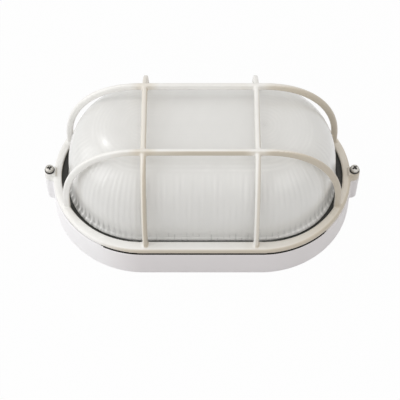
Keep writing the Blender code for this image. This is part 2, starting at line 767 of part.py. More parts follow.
def add_guard_ears(bm):
    """Two ears of the guard, which stand a little above the ring and slope down to it."""
    low_root = BODY_LENGTH / 2 - RING_WIDTH_END + RING_ROUND / 2
    top_root = EAR_AXIS_X - EAR_RADIUS
    for side in (-1, 1):
        rings = [
            ear_outline(EAR_AXIS_X, EAR_RADIUS, BODY_LENGTH / 2 - RIM_LAND + OVERLAP,
                        EAR_ROOT_WIDTH, RING_BOTTOM),
            ear_outline(EAR_AXIS_X, EAR_RADIUS, low_root, EAR_ROOT_WIDTH, RING_TOP - OVERLAP),
            ear_outline(EAR_AXIS_X, EAR_RADIUS - BAR_EDGE / 2, top_root, 2 * EAR_RADIUS, EAR_TOP),
        ]
        skin(bm, [mirrored(ring, side) for ring in rings])


def shared_mesh(name, bm, mat):
    """A mesh that several objects show."""
    bmesh.ops.recalc_face_normals(bm, faces=bm.faces)
    mesh = bpy.data.meshes.new(name)
    bm.to_mesh(mesh)
    bm.free()
    mesh.materials.append(mat)
    return mesh


def screw_mesh(name, length, mat, count, slotted=False):
    """A pan-head screw with a cross recess or a slot; the underside of its head lies in z = 0."""
    head = SCREW_HEAD_RADIUS
    bm = bmesh.new()
    loops = turned(bm, [
        (SCREW_RADIUS * 0.6, -length),
        (SCREW_RADIUS, -length + SCREW_RADIUS * 0.5),
        (SCREW_RADIUS, 0.0),
        (head, 0.0),
        (head, SCREW_HEAD_HEIGHT * 0.55),
        (head * 0.7, SCREW_HEAD_HEIGHT),
    ], count)
    bm.faces.remove([face for face in bm.faces if set(face.verts) == set(loops[-1])][0])
    recess_floor = SCREW_HEAD_HEIGHT - SCREW_RECESS
    if slotted:
        rings = [slot_outline(head * 0.55, SCREW_SLOT / 2, z) for z in (SCREW_HEAD_HEIGHT, recess_floor)]
    else:
        rings = [cross_outline(head * 0.46, head * 0.13, SCREW_HEAD_HEIGHT),
                 cross_outline(head * 0.22, head * 0.1, recess_floor)]
    recess = skin(bm, rings, capped=False)
    bm.faces.new(recess[-1])
    zip_loops(bm, loops[-1], recess[0], turn_of_points)
    return shared_mesh(name, bm, mat)


def grub_screw_mesh(name, length, mat):
    """A headless clamping screw with a slot; its top lies in z = 0."""
    radius = TERMINAL_SCREW_RADIUS
    bm = bmesh.new()
    loops = turned(bm, [(radius * 0.7, -length), (radius, -length + radius / 2), (radius, 0.0)],
                   SMALL_POINTS)
    bm.faces.remove([face for face in bm.faces if set(face.verts) == set(loops[-1])][0])
    slot = [slot_outline(radius * 0.75, TERMINAL_SLOT / 2, z) for z in (0.0, -radius)]
    walls = skin(bm, slot, capped=False)
    bm.faces.new(walls[-1])
    zip_loops(bm, loops[-1], walls[0], turn_of_points)
    return shared_mesh(name, bm, mat)


def slot_outline(reach, half_width, z):
    """Four points round a slot, from the lower corner of its right end."""
    return [(reach, -half_width, z), (reach, half_width, z), (-reach, half_width, z),
            (-reach, -half_width, z)]


def cross_outline(arm, half_width, z):
    """Twelve points round a cross, from the lower corner of its right arm."""
    corners = [(arm, -half_width), (arm, half_width), (half_width, half_width)]
    points = []
    for quarter in range(4):
        turn = Matrix.Rotation(quarter * math.pi / 2, 2)
        for corner in corners:
            x, y = turn @ Vector(corner)
            points.append((x, y, z))
    return points


def washer_mesh(name, mat):
    """A plain washer with its underside in z = 0."""
    bm = bmesh.new()
    turned(bm, [
        (WASHER_RADIUS, 0.0),
        (WASHER_RADIUS, WASHER_THICKNESS),
        (HOLE_RADIUS, WASHER_THICKNESS),
        (HOLE_RADIUS, 0.0),
    ], HEAD_POINTS, closed=True)
    return shared_mesh(name, bm, mat)


def make_grommet(mat, parent):
    """The rubber grommet in the cable hole, flush with the back of the base."""
    body = CABLE_HOLE_RADIUS - CLEARANCE
    bore = body - GROMMET_WALL
    flange = CABLE_HOLE_RADIUS + GROMMET_FLANGE
    back = CLEARANCE
    groove_low = back + GROMMET_FLANGE_HEIGHT
    groove_high = FLOOR_THICKNESS + CLEARANCE
    front = groove_high + GROMMET_FLANGE_HEIGHT
    bm = bmesh.new()
    turned(bm, [
        (bore, back),
        (flange, back),
        (flange, groove_low),
        (body, groove_low),
        (body, groove_high),
        (flange, groove_high),
        (flange - GROMMET_FLANGE / 2, front),
        (bore, front),
    ], ROUND_POINTS, closed=True)
    return add_object("cable_grommet", bm, mat, parent, (CABLE_HOLE_X, 0.0, 0.0))


def make_bracket(mat, parent):
    """The lampholder's bracket: a foot on two bosses, a bend and an upright plate."""
    back = BRACKET_BACK_X
    low = BRACKET_FOOT_Z
    top = LAMP_AXIS_Z + HOLDER_RADIUS - HOLDER_TAPER
    outer_bend = BRACKET_BEND + BRACKET_SHEET
    bend_x = back + outer_bend
    bend_z = low + outer_bend
    outside = [(back, top)]
    inside = [(back + BRACKET_SHEET, top)]
    bend_steps = 3
    for step in range(bend_steps + 1):
        angle = math.pi + math.pi / 2 * step / bend_steps
        direction = (math.cos(angle), math.sin(angle))
        outside.append((bend_x + outer_bend * direction[0], bend_z + outer_bend * direction[1]))
        inside.append((bend_x + BRACKET_BEND * direction[0], bend_z + BRACKET_BEND * direction[1]))
    outside.append((back + BRACKET_FOOT, low))
    inside.append((back + BRACKET_FOOT, low + BRACKET_SHEET))
    bm = bmesh.new()
    half = BRACKET_WIDTH / 2
    rings = []
    for outer, inner in zip(outside, inside):
        rings.append([(outer[0], -half, outer[1]), (inner[0], -half, inner[1]),
                      (inner[0], half, inner[1]), (outer[0], half, outer[1])])
    skin(bm, rings)
    corners = []
    for edge in bm.edges:
        ends = [vert.co for vert in edge.verts]
        if all(end.z > top - OVERLAP for end in ends) and abs(ends[0].y - ends[1].y) < OVERLAP:
            corners.append(edge)
    bmesh.ops.bevel(bm, geom=corners, offset=BRACKET_CORNER, segments=2, profile=0.5,
                    affect="EDGES")
    bracket = add_object("lamp_bracket", bm, mat, parent)

    bm = bmesh.new()
    for side in (-1, 1):
        centre = (BRACKET_SCREW_X, side * BRACKET_SCREW_SPACING / 2)
        add_cylinder(bm, HOLE_RADIUS, low - OVERLAP, low + BRACKET_SHEET + OVERLAP, centre)
        ring_low = []
        ring_high = []
        for x, y, _ in circle(HOLE_RADIUS, 0.0, SMALL_POINTS):
            spot = (side * HOLDER_SCREW_SPACING / 2 + x, LAMP_AXIS_Z + y)
            ring_low.append((back - OVERLAP, *spot))
            ring_high.append((back + BRACKET_SHEET + OVERLAP, *spot))
        skin(bm, [ring_low, ring_high])
    add_boolean(bracket, "bracket_holes", bm, "DIFFERENCE")
    return bracket


def make_lampholder(mats, parent):
    """The ceramic lampholder with its screw shell and centre contact, open towards +X."""
    along_x = (0.0, math.pi / 2, 0.0)
    spot = (HOLDER_BACK_X, 0.0, LAMP_AXIS_Z)
    bm = bmesh.new()
    turned(bm, [
        (HOLDER_RADIUS - HOLDER_TAPER, 0.0),
        (HOLDER_RADIUS - HOLDER_TAPER, HOLDER_BASE * 0.8),
        (HOLDER_RADIUS, HOLDER_BASE),
        (HOLDER_RADIUS, HOLDER_LENGTH - EDGE_ROUND),
        (HOLDER_RADIUS - EDGE_ROUND, HOLDER_LENGTH),
        (HOLDER_BORE_RADIUS + EDGE_ROUND, HOLDER_LENGTH),
        (HOLDER_BORE_RADIUS, HOLDER_LENGTH - EDGE_ROUND),
        (HOLDER_BORE_RADIUS, HOLDER_BASE),
    ])
    body = add_object("lampholder_body", bm, mats["ceramic"], parent, spot, along_x)

    bm = bmesh.new()
    screw_depth = INNER_SCREW_LENGTH + CLEARANCE
    for side in (-1, 1):
        ring_low = []
        ring_high = []
        for x, y, _ in circle(HOLE_RADIUS, 0.0, SMALL_POINTS):
            place = (side * HOLDER_SCREW_SPACING / 2 + x, LAMP_AXIS_Z + y)
            ring_low.append((HOLDER_BACK_X - OVERLAP, *place))
            ring_high.append((HOLDER_BACK_X + screw_depth, *place))
        skin(bm, [ring_low, ring_high])
        ring_low = []
        ring_high = []
        for x, y, _ in circle(WIRE_RADIUS + CLEARANCE, 0.0, SMALL_POINTS):
            place = (WIRE_HOLE_X + x, LAMP_AXIS_Z + side * WIRE_RISE + y)
            ring_low.append((place[0], wire_hole_bottom(), place[1]))
            ring_high.append((place[0], HOLDER_RADIUS + OVERLAP, place[1]))
        skin(bm, [ring_low, ring_high])
    add_boolean(body, "holder_holes", bm, "DIFFERENCE")

    shell_start = HOLDER_LENGTH - HOLDER_MOUTH_GAP - SHELL_LENGTH
    shell_inner = SHELL_OUTER - SHELL_WALL
    bm = bmesh.new()
    turned(bm, [
        (SHELL_OUTER, shell_start),
        (SHELL_OUTER, shell_start + SHELL_LENGTH),
        (shell_inner, shell_start + SHELL_LENGTH),
        (shell_inner, shell_start),
    ], closed=True)
    add_object("lampholder_shell", bm, mats["brass"], parent, spot, along_x)

    bm = bmesh.new()
    start = HOLDER_BASE + CLEARANCE
    turned(bm, [
        (CONTACT_RADIUS, start),
        (CONTACT_RADIUS, start + CONTACT_THICKNESS),
        (CONTACT_RADIUS * 0.6, start + CONTACT_THICKNESS),
        (CONTACT_RADIUS * 0.45, start + CONTACT_THICKNESS + CONTACT_BUTTON),
    ], SMALL_POINTS)
    add_object("lampholder_contact", bm, mats["brass"], parent, spot, along_x)


def wire_hole_bottom():
    """How near the lamp's axis a wire's hole in the lampholder ends."""
    return HOLDER_RADIUS - HOLDER_TAPER - WIRE_DEPTH - CLEARANCE


def make_lamp(mat, parent):
    """The frosted lamp with its screw cap, one sealed solid, lying along X."""
    bulb_radius = LAMP_DIAMETER / 2
    cap_end = LAMP_TIP_LENGTH + LAMP_CAP_LENGTH
    bulb_centre = LAMP_LENGTH - bulb_radius
    profile = [
        (LAMP_TIP_RADIUS * 0.7, 0.0),
        (LAMP_TIP_RADIUS, LAMP_TIP_LENGTH * 0.25),
        (LAMP_TIP_RADIUS, LAMP_TIP_LENGTH * 0.45),
        (LAMP_CAP_RADIUS * 0.94, LAMP_TIP_LENGTH),
        (LAMP_CAP_RADIUS, LAMP_TIP_LENGTH + EDGE_ROUND),
        (LAMP_CAP_RADIUS, cap_end),
        (LAMP_NECK_RADIUS, cap_end + EDGE_ROUND),
    ]
    join_angle = math.radians(128.0)
    join = (bulb_radius * math.sin(join_angle), bulb_centre + bulb_radius * math.cos(join_angle))
    start = profile[-1]
    for step in (1, 2):
        share = step / 3
        ease = share * share * (3 - 2 * share)
        profile.append((start[0] + (join[0] - start[0]) * ease,
                        start[1] + (join[1] - start[1]) * share))
    steps = 6
    for step in range(steps + 1):
        angle = join_angle * (1 - step / (steps + 0.3))
        profile.append((bulb_radius * math.sin(angle), bulb_centre + bulb_radius * math.cos(angle)))
    bm = bmesh.new()
    turned(bm, profile)
    spot = (LAMP_TIP_X, 0.0, LAMP_AXIS_Z)
    return add_object("lamp", bm, mat, parent, spot, (0.0, math.pi / 2, 0.0))


def make_terminal_block(mats, parent):
    """The two-pole terminal block beside the lampholder, with its brass tubes and clamping screws."""
    half_depth = BLOCK_DEPTH / 2
    half_length = BLOCK_LENGTH / 2
    top = BLOCK_BOTTOM + BLOCK_HEIGHT
    bm = bmesh.new()
    add_box(bm, (BLOCK_X - half_depth, BLOCK_Y - half_length, BLOCK_BOTTOM),
            (BLOCK_X + half_depth, BLOCK_Y + half_length, top))
    top_edges = [edge for edge in bm.edges
                 if all(vert.co.z > BLOCK_BOTTOM + OVERLAP for vert in edge.verts)]
    bmesh.ops.bevel(bm, geom=top_edges, offset=BLOCK_CHAMFER, segments=1, profile=0.5,
                    affect="EDGES")
    block = add_object("terminal_block", bm, mats["nylon"], parent)

    bm = bmesh.new()
    tube_seat = TUBE_RADIUS + CLEARANCE
    for tube_y in tube_places():
        skin(bm, [along_x(tube_seat, tube_y, BLOCK_X - half_depth - OVERLAP),
                  along_x(tube_seat, tube_y, BLOCK_X + half_depth + OVERLAP)])
    add_boolean(block, "block_tube_holes", bm, "DIFFERENCE")
    bm = bmesh.new()
    head_hole = SCREW_HEAD_RADIUS + CLEARANCE
    fixing_head = BLOCK_BOTTOM + BLOCK_HEIGHT / 2
    profile = [(HOLE_RADIUS, BLOCK_BOTTOM - OVERLAP), (HOLE_RADIUS, fixing_head),
               (head_hole, fixing_head), (head_hole, top + OVERLAP)]
    skin(bm, [circle(radius, z, SMALL_POINTS, (BLOCK_X, BLOCK_Y)) for radius, z in profile])
    for place in terminal_screw_places():
        add_cylinder(bm, TERMINAL_SCREW_RADIUS + CLEARANCE, TUBE_Z + TUBE_RADIUS / 2, top + OVERLAP,
                     place)
    add_boolean(block, "block_screw_holes", bm, "DIFFERENCE")

    fixing_length = fixing_head - BLOCK_BOTTOM + BLOCK_BOSS_HEIGHT
    fixing = screw_mesh("terminal_fixing_screw", fixing_length, mats["steel"], SMALL_POINTS,
                        slotted=True)
    place_mesh("terminal_fixing_screw", fixing, None, parent,
               (BLOCK_X, BLOCK_Y, fixing_head + CLEARANCE))
    for name, tube_y in zip(("terminal_tube_neutral", "terminal_tube_live"), tube_places()):
        make_terminal_tube(name, tube_y, mats, parent)
    clamp_top = top - TERMINAL_SCREW_RADIUS
    clamp = grub_screw_mesh("terminal_screw", clamp_top - TUBE_Z - TUBE_RADIUS + TUBE_WALL,
                            mats["steel"])
    for number, (x, y) in enumerate(terminal_screw_places(), start=1):
        place_mesh("terminal_screw_%d" % number, clamp, None, parent, (x, y, clamp_top))
    return block


def tube_places():
    """The y of the two tubes in the terminal block, the one nearer the lampholder first."""
    return (BLOCK_Y - BLOCK_POLE_SPACING / 2, BLOCK_Y + BLOCK_POLE_SPACING / 2)


def terminal_screw_places():
    """Centres of the four clamping screws."""
    places = []
    for tube_y in tube_places():
        for end in (-1, 1):
            places.append((BLOCK_X + end * TERMINAL_SCREW_SPACING / 2, tube_y))
    return places


def along_x(radius, y, x):
    """Points round a circle at the tubes' height that faces along x."""
    return [(x, y + py, TUBE_Z + pz) for py, pz, _ in circle(radius, 0.0, SMALL_POINTS)]


def make_terminal_tube(name, tube_y, mats, parent):
    """One brass tube that joins a mains conductor to an inner wire."""
    half = BLOCK_DEPTH / 2 - EDGE_ROUND
    bore = TUBE_RADIUS - TUBE_WALL
    bm = bmesh.new()
    skin(bm, [
        along_x(TUBE_RADIUS, tube_y, BLOCK_X - half),
        along_x(TUBE_RADIUS, tube_y, BLOCK_X + half),
        along_x(bore, tube_y, BLOCK_X + half),
        along_x(bore, tube_y, BLOCK_X - half),
    ], closed=True)
    tube = add_object(name, bm, mats["brass"], parent)
    bm = bmesh.new()
    radius = TERMINAL_SCREW_RADIUS + CLEARANCE
    for place in terminal_screw_places():
        if abs(place[1] - tube_y) < TUBE_RADIUS:
            add_cylinder(bm, radius, TUBE_Z + TUBE_RADIUS / 4, TUBE_Z + TUBE_RADIUS + OVERLAP, place)
    add_boolean(tube, name + "_holes", bm, "DIFFERENCE")
    return tube


def smooth_route(points, step):
    """Evenly spaced points along a smooth curve through the given ones."""
    route = [Vector(point) for point in points]
    padded = [2 * route[0] - route[1]] + route + [2 * route[-1] - route[-2]]
    fine = []
    parts = 24
    for index in range(1, len(padded) - 2):
        before, start, end, after = padded[index - 1:index + 3]
        for part in range(parts):
            t = part / parts
            fine.append(0.5 * (2 * start + (end - before) * t
                               + (2 * before - 5 * start + 4 * end - after) * t ** 2
                               + (3 * start - before - 3 * end + after) * t ** 3))
    fine.append(route[-1])
    length = sum((b - a).length for a, b in zip(fine, fine[1:]))
    count = max(2, round(length / step))
    spaced = [fine[0]]
    travelled = 0.0
    for first, second in zip(fine, fine[1:]):
        piece = (second - first).length
        while len(spaced) < count and travelled + piece >= len(spaced) * length / count:
            share = (len(spaced) * length / count - travelled) / piece
            spaced.append(first.lerp(second, share))
        travelled += piece
    spaced.append(fine[-1])
    return spaced


def make_wire(name, mat, parent, tube_y, hole_z, slack):
    """One insulated wire, from its tube in the terminal block up to the side of the lampholder."""
    mouth_x = BLOCK_X - BLOCK_DEPTH / 2
    holder_side = HOLDER_RADIUS - HOLDER_TAPER
    points = [
        (mouth_x + WIRE_DEPTH, tube_y, TUBE_Z),
        (mouth_x, tube_y, TUBE_Z),
        (mouth_x - slack / 2, tube_y, TUBE_Z + slack / 6),
        ((mouth_x + WIRE_HOLE_X) / 2, (tube_y + holder_side + slack) / 2, (TUBE_Z + hole_z) / 2),
        (WIRE_HOLE_X, holder_side + slack, hole_z),
        (WIRE_HOLE_X, holder_side + slack / 2, hole_z),
        (WIRE_HOLE_X, holder_side, hole_z),
        (WIRE_HOLE_X, wire_hole_bottom() + CLEARANCE, hole_z),
    ]
    curve = bpy.data.curves.new(name, "CURVE")
    curve.dimensions = "3D"
    curve.bevel_depth = WIRE_RADIUS
    curve.bevel_resolution = 1
    curve.use_fill_caps = True
    spline = curve.splines.new("POLY")
    route = smooth_route(points, WIRE_STEP)
    spline.points.add(len(route) - 1)
    for point, place in zip(spline.points, route):
        point.co = (*place, 1.0)
    curve.materials.append(mat)
    obj = bpy.data.objects.new(name, curve)
    bpy.context.scene.collection.objects.link(obj)
    obj.parent = parent
    return obj


def make_screws(mats, parent):
    """Guard screws and washers, bracket screws, holder screws and the earth terminal."""
    guard_screw = screw_mesh("guard_screw", GUARD_SCREW_LENGTH, mats["steel"], HEAD_POINTS)
    inner_screw = screw_mesh("inner_screw", INNER_SCREW_LENGTH, mats["steel"], SMALL_POINTS,
                             slotted=True)
    washer = washer_mesh("washer", mats["steel"])
    for name, side in (("left", -1), ("right", 1)):
        x = side * EAR_AXIS_X
        turn = math.radians(14.0 if side < 0 else 38.0)
        place_mesh("guard_screw_" + name, guard_screw, None, parent, (x, 0.0, GUARD_HEAD_Z),
                   (0.0, 0.0, turn))
        place_mesh("guard_washer_" + name, washer, None, parent, (x, 0.0, GUARD_WASHER_Z))
    foot_head = BRACKET_FOOT_Z + BRACKET_SHEET + CLEARANCE
    for number, side in ((1, -1), (2, 1)):
        place_mesh("bracket_screw_%d" % number, inner_screw, None, parent,
                   (BRACKET_SCREW_X, side * BRACKET_SCREW_SPACING / 2, foot_head))
        place_mesh("lampholder_screw_%d" % number, inner_screw, None, parent,
                   (BRACKET_BACK_X - CLEARANCE, side * HOLDER_SCREW_SPACING / 2, LAMP_AXIS_Z),
                   (0.0, -math.pi / 2, 0.0))
    earth_washer_z = FLOOR_THICKNESS + EARTH_BOSS_HEIGHT + CLEARANCE
    place_mesh("earth_washer", washer, None, parent, (EARTH_X, EARTH_Y, earth_washer_z))
    place_mesh("earth_screw", inner_screw, None, parent,
               (EARTH_X, EARTH_Y, earth_washer_z + WASHER_THICKNESS + CLEARANCE))


def main():
    """Build the whole light."""
    clear_scene()
    mats = {
        "base_paint": material("white_paint_base", (0.74, 0.735, 0.725), 0.42),
        "guard_paint": material("white_paint_guard", (0.80, 0.79, 0.76), 0.38),
        "glass": material("ribbed_glass", (0.82, 0.83, 0.82), 0.18, transmission=0.6),
        "rubber": material("black_rubber", (0.045, 0.045, 0.04), 0.7),
        "steel": material("plated_steel", (0.62, 0.60, 0.55), 0.34, metallic=0.9),
        "sheet": material("zinc_plated_sheet", (0.55, 0.56, 0.57), 0.4, metallic=0.85),
        "ceramic": material("white_ceramic", (0.83, 0.82, 0.79), 0.25),
        "brass": material("brass", (0.70, 0.52, 0.25), 0.3, metallic=0.95),
        "lamp": material("frosted_lamp", (0.90, 0.90, 0.88), 0.45),
        "nylon": material("white_nylon", (0.82, 0.82, 0.80), 0.5),
        "brown_wire": material("brown_insulation", (0.16, 0.07, 0.035), 0.5),
        "blue_wire": material("blue_insulation", (0.03, 0.10, 0.33), 0.5),
    }
    light = add_empty("wall_light")
    inside = add_empty("inner_parts", parent=light)
    make_base(mats["base_paint"], light)
    make_gasket(mats["rubber"], light)
    make_glass(mats["glass"], light)
    make_guard(mats["guard_paint"], light)
    make_grommet(mats["rubber"], light)
    make_bracket(mats["sheet"], inside)
    make_lampholder(mats, inside)
    make_lamp(mats["lamp"], inside)
    make_terminal_block(mats, inside)
    make_screws(mats, light)
    near_tube, far_tube = tube_places()
    make_wire("wire_live", mats["brown_wire"], inside, far_tube, LAMP_AXIS_Z - WIRE_RISE, WIRE_SLACK)
    make_wire("wire_neutral", mats["blue_wire"], inside, near_tube, LAMP_AXIS_Z + WIRE_RISE, WIRE_SLACK)


main()
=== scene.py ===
"""Looks of an oval bulkhead wall light: cast base, cast guard, ribbed glass, gasket and screws.

In metres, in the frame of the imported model: the base's back lies in z = 0, and +Z points out of the wall.
"""

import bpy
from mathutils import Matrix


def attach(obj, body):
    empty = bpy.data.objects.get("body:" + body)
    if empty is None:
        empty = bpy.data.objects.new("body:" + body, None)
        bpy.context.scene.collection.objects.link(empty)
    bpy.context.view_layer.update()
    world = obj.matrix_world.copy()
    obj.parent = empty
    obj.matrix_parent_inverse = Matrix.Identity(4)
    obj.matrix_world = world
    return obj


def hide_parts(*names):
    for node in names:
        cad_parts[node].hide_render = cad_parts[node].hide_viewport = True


bl_info = {
    "name": "Oval Bulkhead Light",
    "version": (1, 0, 0),
    "blender": (4, 5, 0),
    "location": "3D View > Sidebar > Bulkhead Light",
    "description": "Builds the visible pieces and finishes of an oval bulkhead wall light",
    "category": "Object",
}

import math

import bmesh
import bpy
from mathutils import Matrix, Vector, noise

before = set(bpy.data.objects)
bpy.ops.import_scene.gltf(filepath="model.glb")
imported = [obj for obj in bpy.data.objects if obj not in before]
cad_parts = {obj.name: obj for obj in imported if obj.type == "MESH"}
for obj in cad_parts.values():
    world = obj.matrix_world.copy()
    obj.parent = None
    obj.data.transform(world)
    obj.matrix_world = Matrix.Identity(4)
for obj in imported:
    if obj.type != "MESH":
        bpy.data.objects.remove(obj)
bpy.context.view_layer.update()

MM = 0.001
BODY = "root"

# Shared heights above the wall
RIM_HEIGHT = 24.0 * MM
SEAM_GAP = 0.9 * MM
RING_HEIGHT = 4.1 * MM
RING_BOTTOM = RIM_HEIGHT + SEAM_GAP
RING_TOP = RING_BOTTOM + RING_HEIGHT
LIP_UNDERSIDE = 26.2 * MM
SEAT_HEIGHT = 19.0 * MM
POCKET_TOP = 15.8 * MM
FLOOR = 3.0 * MM
GASKET_BOTTOM = 19.3 * MM
GASKET_TOP = 25.9 * MM
FLANGE_BOTTOM = 21.1 * MM
FLANGE_TOP = 24.1 * MM
GLASS_CROWN = 86.0 * MM
CHAMBER_TOP = 82.8 * MM

# Glass: the power of its dome's curve, up to which share of its height flutes show, how far apart the
# clearest ribs are, the innermost rib, and the foot's flare with its spread at the round corners
DOME_POWER = 3.4
FLUTES_SHOWN = 0.92
CROWN_RIPPLE = 38.0 * MM
RIB_END = 3.0 * MM
FOOT_FLARE = 3.4 * MM
CORNER_SPREAD = 1.5 * MM
OUTSIDE_BAND = 1.0 * MM

# How far inside the body's outline each edge lies, with the wall and draft of the tub
RING_INSET = 0.5 * MM
RING_WIDTH_END = 6.3 * MM
RING_WIDTH_SIDE = 8.1 * MM
RING_WIDTH = (RING_WIDTH_END + RING_WIDTH_SIDE) / 2
RIM_LAND = 4.0 * MM
SKIRT_WALL = 3.0 * MM
GASKET_OUTER = 4.3 * MM
FLANGE_OUTER = 6.1 * MM
GLASS_FOOT = 10.6 * MM
GLASS_WALL = 12.0 * MM
GLASS_INNER = 15.2 * MM
TUB_INNER = 13.0 * MM
TUB_WALL = 2.8 * MM
TUB_DRAFT = 1.5 * MM

# Overlap of joined shells, the gap left in the middle of a sweep until it is sealed, and from where to
# where along X the inside of the seam is painted near-black as shade in the gap
OVERLAP = 0.6 * MM
MIDDLE_GAP = 1.0 * MM
SEAM_SHADE_SPAN = (-68.0 * MM, 85.0 * MM)

# Guard bars
LONG_BAR_Y = 27.0 * MM
LONG_BAR_STRAIGHT = 41.0 * MM
LONG_BAR_FOOT = 95.8 * MM
LONG_BAR_POWER = 2.2
CROSS_BAR_X = 37.8 * MM
CROSS_BAR_SHIFT = -1.1 * MM
CROSS_BAR_STRAIGHT = 22.0 * MM
CROSS_BAR_FOOT = 60.95 * MM
CROSS_BAR_POWER = 1.87
BAR_EDGE = 0.7 * MM
FOOT_TOP = RING_TOP + 6.0 * MM

# Ears and their screws
EAR_X = 106.8 * MM
EAR_RADIUS = 3.9 * MM
EAR_ROOT_X = 104.2 * MM
EAR_ROOT_WIDTH = 8.4 * MM
EAR_TOP = 31.6 * MM
EAR_SEAM = RIM_HEIGHT + 0.15 * MM
EAR_FILLET = 2.2 * MM
HOLE_RADIUS = 2.05 * MM
EAR_FOOT = 1.0 * MM
EAR_DRAFT = 0.4 * MM
EAR_ROUND = 1.4 * MM
EAR_HOLE_FLOOR = 10.4 * MM
SCREW_RADIUS = 1.75 * MM
HEAD_RADIUS = 3.1 * MM
HEAD_HEIGHT = 2.4 * MM
HEAD_Z = 33.0 * MM
GUARD_SCREW_LENGTH = 22.0 * MM
WASHER_RADIUS = 3.5 * MM
WASHER_Z = 31.9 * MM
WASHER_THICKNESS = 0.8 * MM

# Floor of the base, seen from behind
BOSS_RADIUS = 4.2 * MM
BOSSES = ((-59.0 * MM, -9.0 * MM, 4.0 * MM), (-59.0 * MM, 9.0 * MM, 4.0 * MM),
          (-45.0 * MM, 33.0 * MM, 3.0 * MM), (46.0 * MM, -35.5 * MM, 5.0 * MM))
BLIND_HOLE_FLOOR = 0.9 * MM
SLOT_Y = 33.0 * MM
SLOT_HALF_LENGTH = 6.0 * MM
SLOT_RADIUS = 2.75 * MM
CABLE_X = 38.0 * MM
CABLE_RADIUS = 8.5 * MM
GROMMET_BORE = 4.2 * MM
GROMMET_FLANGE = 10.5 * MM
SIDE_RIB_X = 28.0 * MM
END_RIB_ANGLE = 42.0
RIB_THICKNESS = 2.0 * MM
RIB_SETBACK = 1.5 * MM

# Lamp, lying along X
LAMP_AXIS_Z = 42.9 * MM
LAMP_TIP_X = -58.1 * MM
BULB_RADIUS = 30.0 * MM
BULB_CENTRE = 75.0 * MM
BULB_JOIN = math.radians(128.0)
COLLAR_RADIUS = 15.4 * MM
COLLAR_TOP = 27.3 * MM
CAP_RADIUS = 12.75 * MM
CAP_THREAD = 0.3 * MM
CAP_END = 26.6 * MM

# Painted shade on paint, warm and strongest towards the right end, away from the light: its least and most
# share, and where along X each is reached; and how far from the middle of a cross bar that bar's own tone
# starts and ends to fade
RIGHTWARD_SHADE = (0.0, 0.75, 10.0 * MM, 90.0 * MM)
BAR_REACH = (4.0 * MM, 10.0 * MM)

# How bright a darker part of a look is beside its full colour: the painted shade on faces that turn near
# and right, specks, the painted shade of the glass's flute hollows, and the gasket painted dark as seen
# through the glass; how strongly specks show, and how deep the relief of fine grain and of the glass is
SIDE_SHADE = 0.77
SPECK_SHADE = 0.45
HOLLOW_SHADE = 0.85
RUBBER_SHADE = 0.4
SPECK_STRENGTH = 0.25
GRAIN_RELIEF = 0.05 * MM
GLASS_RELIEF = 0.25 * MM

# The view of the photo, and each lamp's name, place, power, size and colour
CAMERA_PLACE = (-0.0015, -0.5811, 0.8984)
CAMERA_TILT = math.radians(32.7)
CAMERA_LENS = 133.9
FLOOR_REACH = 3.0
FLOOR_COLOUR = (0.65, 0.65, 0.65)
SKY_COLOUR = (1.0, 0.985, 0.96, 1.0)
SKY_STRENGTH = 0.66
LAMPS = (
    ("window_light", (-1.1, -0.2, 0.45), 5.8, 1.1, (0.98, 0.99, 1.0)),
    ("ceiling_light", (-0.1, 0.0, 1.2), 2.2, 1.8, (1.0, 1.0, 1.0)),
    ("spot_light", (-0.616, 0.42, 1.058), 0.9, 0.09, (1.0, 1.0, 1.0)),
    ("front_light", (0.9, -1.0, 0.8), 3.0, 1.2, (1.0, 1.0, 1.0)),
)


def add_node(tree, kind, inputs=None, **settings):
    """A node with its settings; each input is given a value, or a socket to be linked to."""
    node = tree.nodes.new(kind)
    for name, value in settings.items():
        setattr(node, name, value)
    for name, value in (inputs or {}).items():
        if isinstance(value, bpy.types.NodeSocket):
            tree.links.new(value, node.inputs[name])
        else:
            node.inputs[name].default_value = value
    return node


def maths(tree, operation, first, *others, **settings):
    """The result of a sum on numbers or sockets, taken one after the other."""
    result = first
    for value in others or (0.0,):
        result = add_node(tree, "ShaderNodeMath", {0: result, 1: value}, operation=operation,
                          **settings).outputs[0]
    return result


def times(tree, *values, **settings):
    """The product of numbers or sockets."""
    return maths(tree, "MULTIPLY", *values, **settings)


def plus(tree, *values):
    """The sum of numbers or sockets."""
    return maths(tree, "ADD", *values)


def vector(tree, x=0.0, y=0.0, z=0.0):
    """A vector from numbers or sockets."""
    return add_node(tree, "ShaderNodeCombineXYZ", {0: x, 1: y, 2: z}).outputs[0]


def axes(tree, value):
    """The x, y and z of a vector."""
    return add_node(tree, "ShaderNodeSeparateXYZ", {0: value}).outputs


def spread(tree, value, low, high, start=0.0, end=1.0):
    """A value moved from the range start to end into the range low to high."""
    node = add_node(tree, "ShaderNodeMapRange", {"Value": value, "From Min": start, "From Max": end,
                                                 "To Min": low, "To Max": high})
    return node.outputs["Result"]


def blend_colours(tree, factor, first, second):
    """A colour between two colours or sockets."""
    node = add_node(tree, "ShaderNodeMix", {"Factor": factor}, data_type="RGBA")
    for socket, value in ((node.inputs[6], first), (node.inputs[7], second)):
        if isinstance(value, bpy.types.NodeSocket):
            tree.links.new(value, socket)
        else:
            socket.default_value = (*value[:3], 1.0)
    return node.outputs[2]


def start_shape_tree(name, sizes):
    """A Geometry Nodes tree with a mesh, the named sizes and a material as its inputs."""
    tree = bpy.data.node_groups.new(name, "GeometryNodeTree")
    face = tree.interface
    face.new_socket("Geometry", in_out="INPUT", socket_type="NodeSocketGeometry")
    for label, kind in sizes.items():
        face.new_socket(label, in_out="INPUT", socket_type="NodeSocket" + kind)
    face.new_socket("Material", in_out="INPUT", socket_type="NodeSocketMaterial")
    face.new_socket("Geometry", in_out="OUTPUT", socket_type="NodeSocketGeometry")
    return tree, tree.nodes.new("NodeGroupInput").outputs


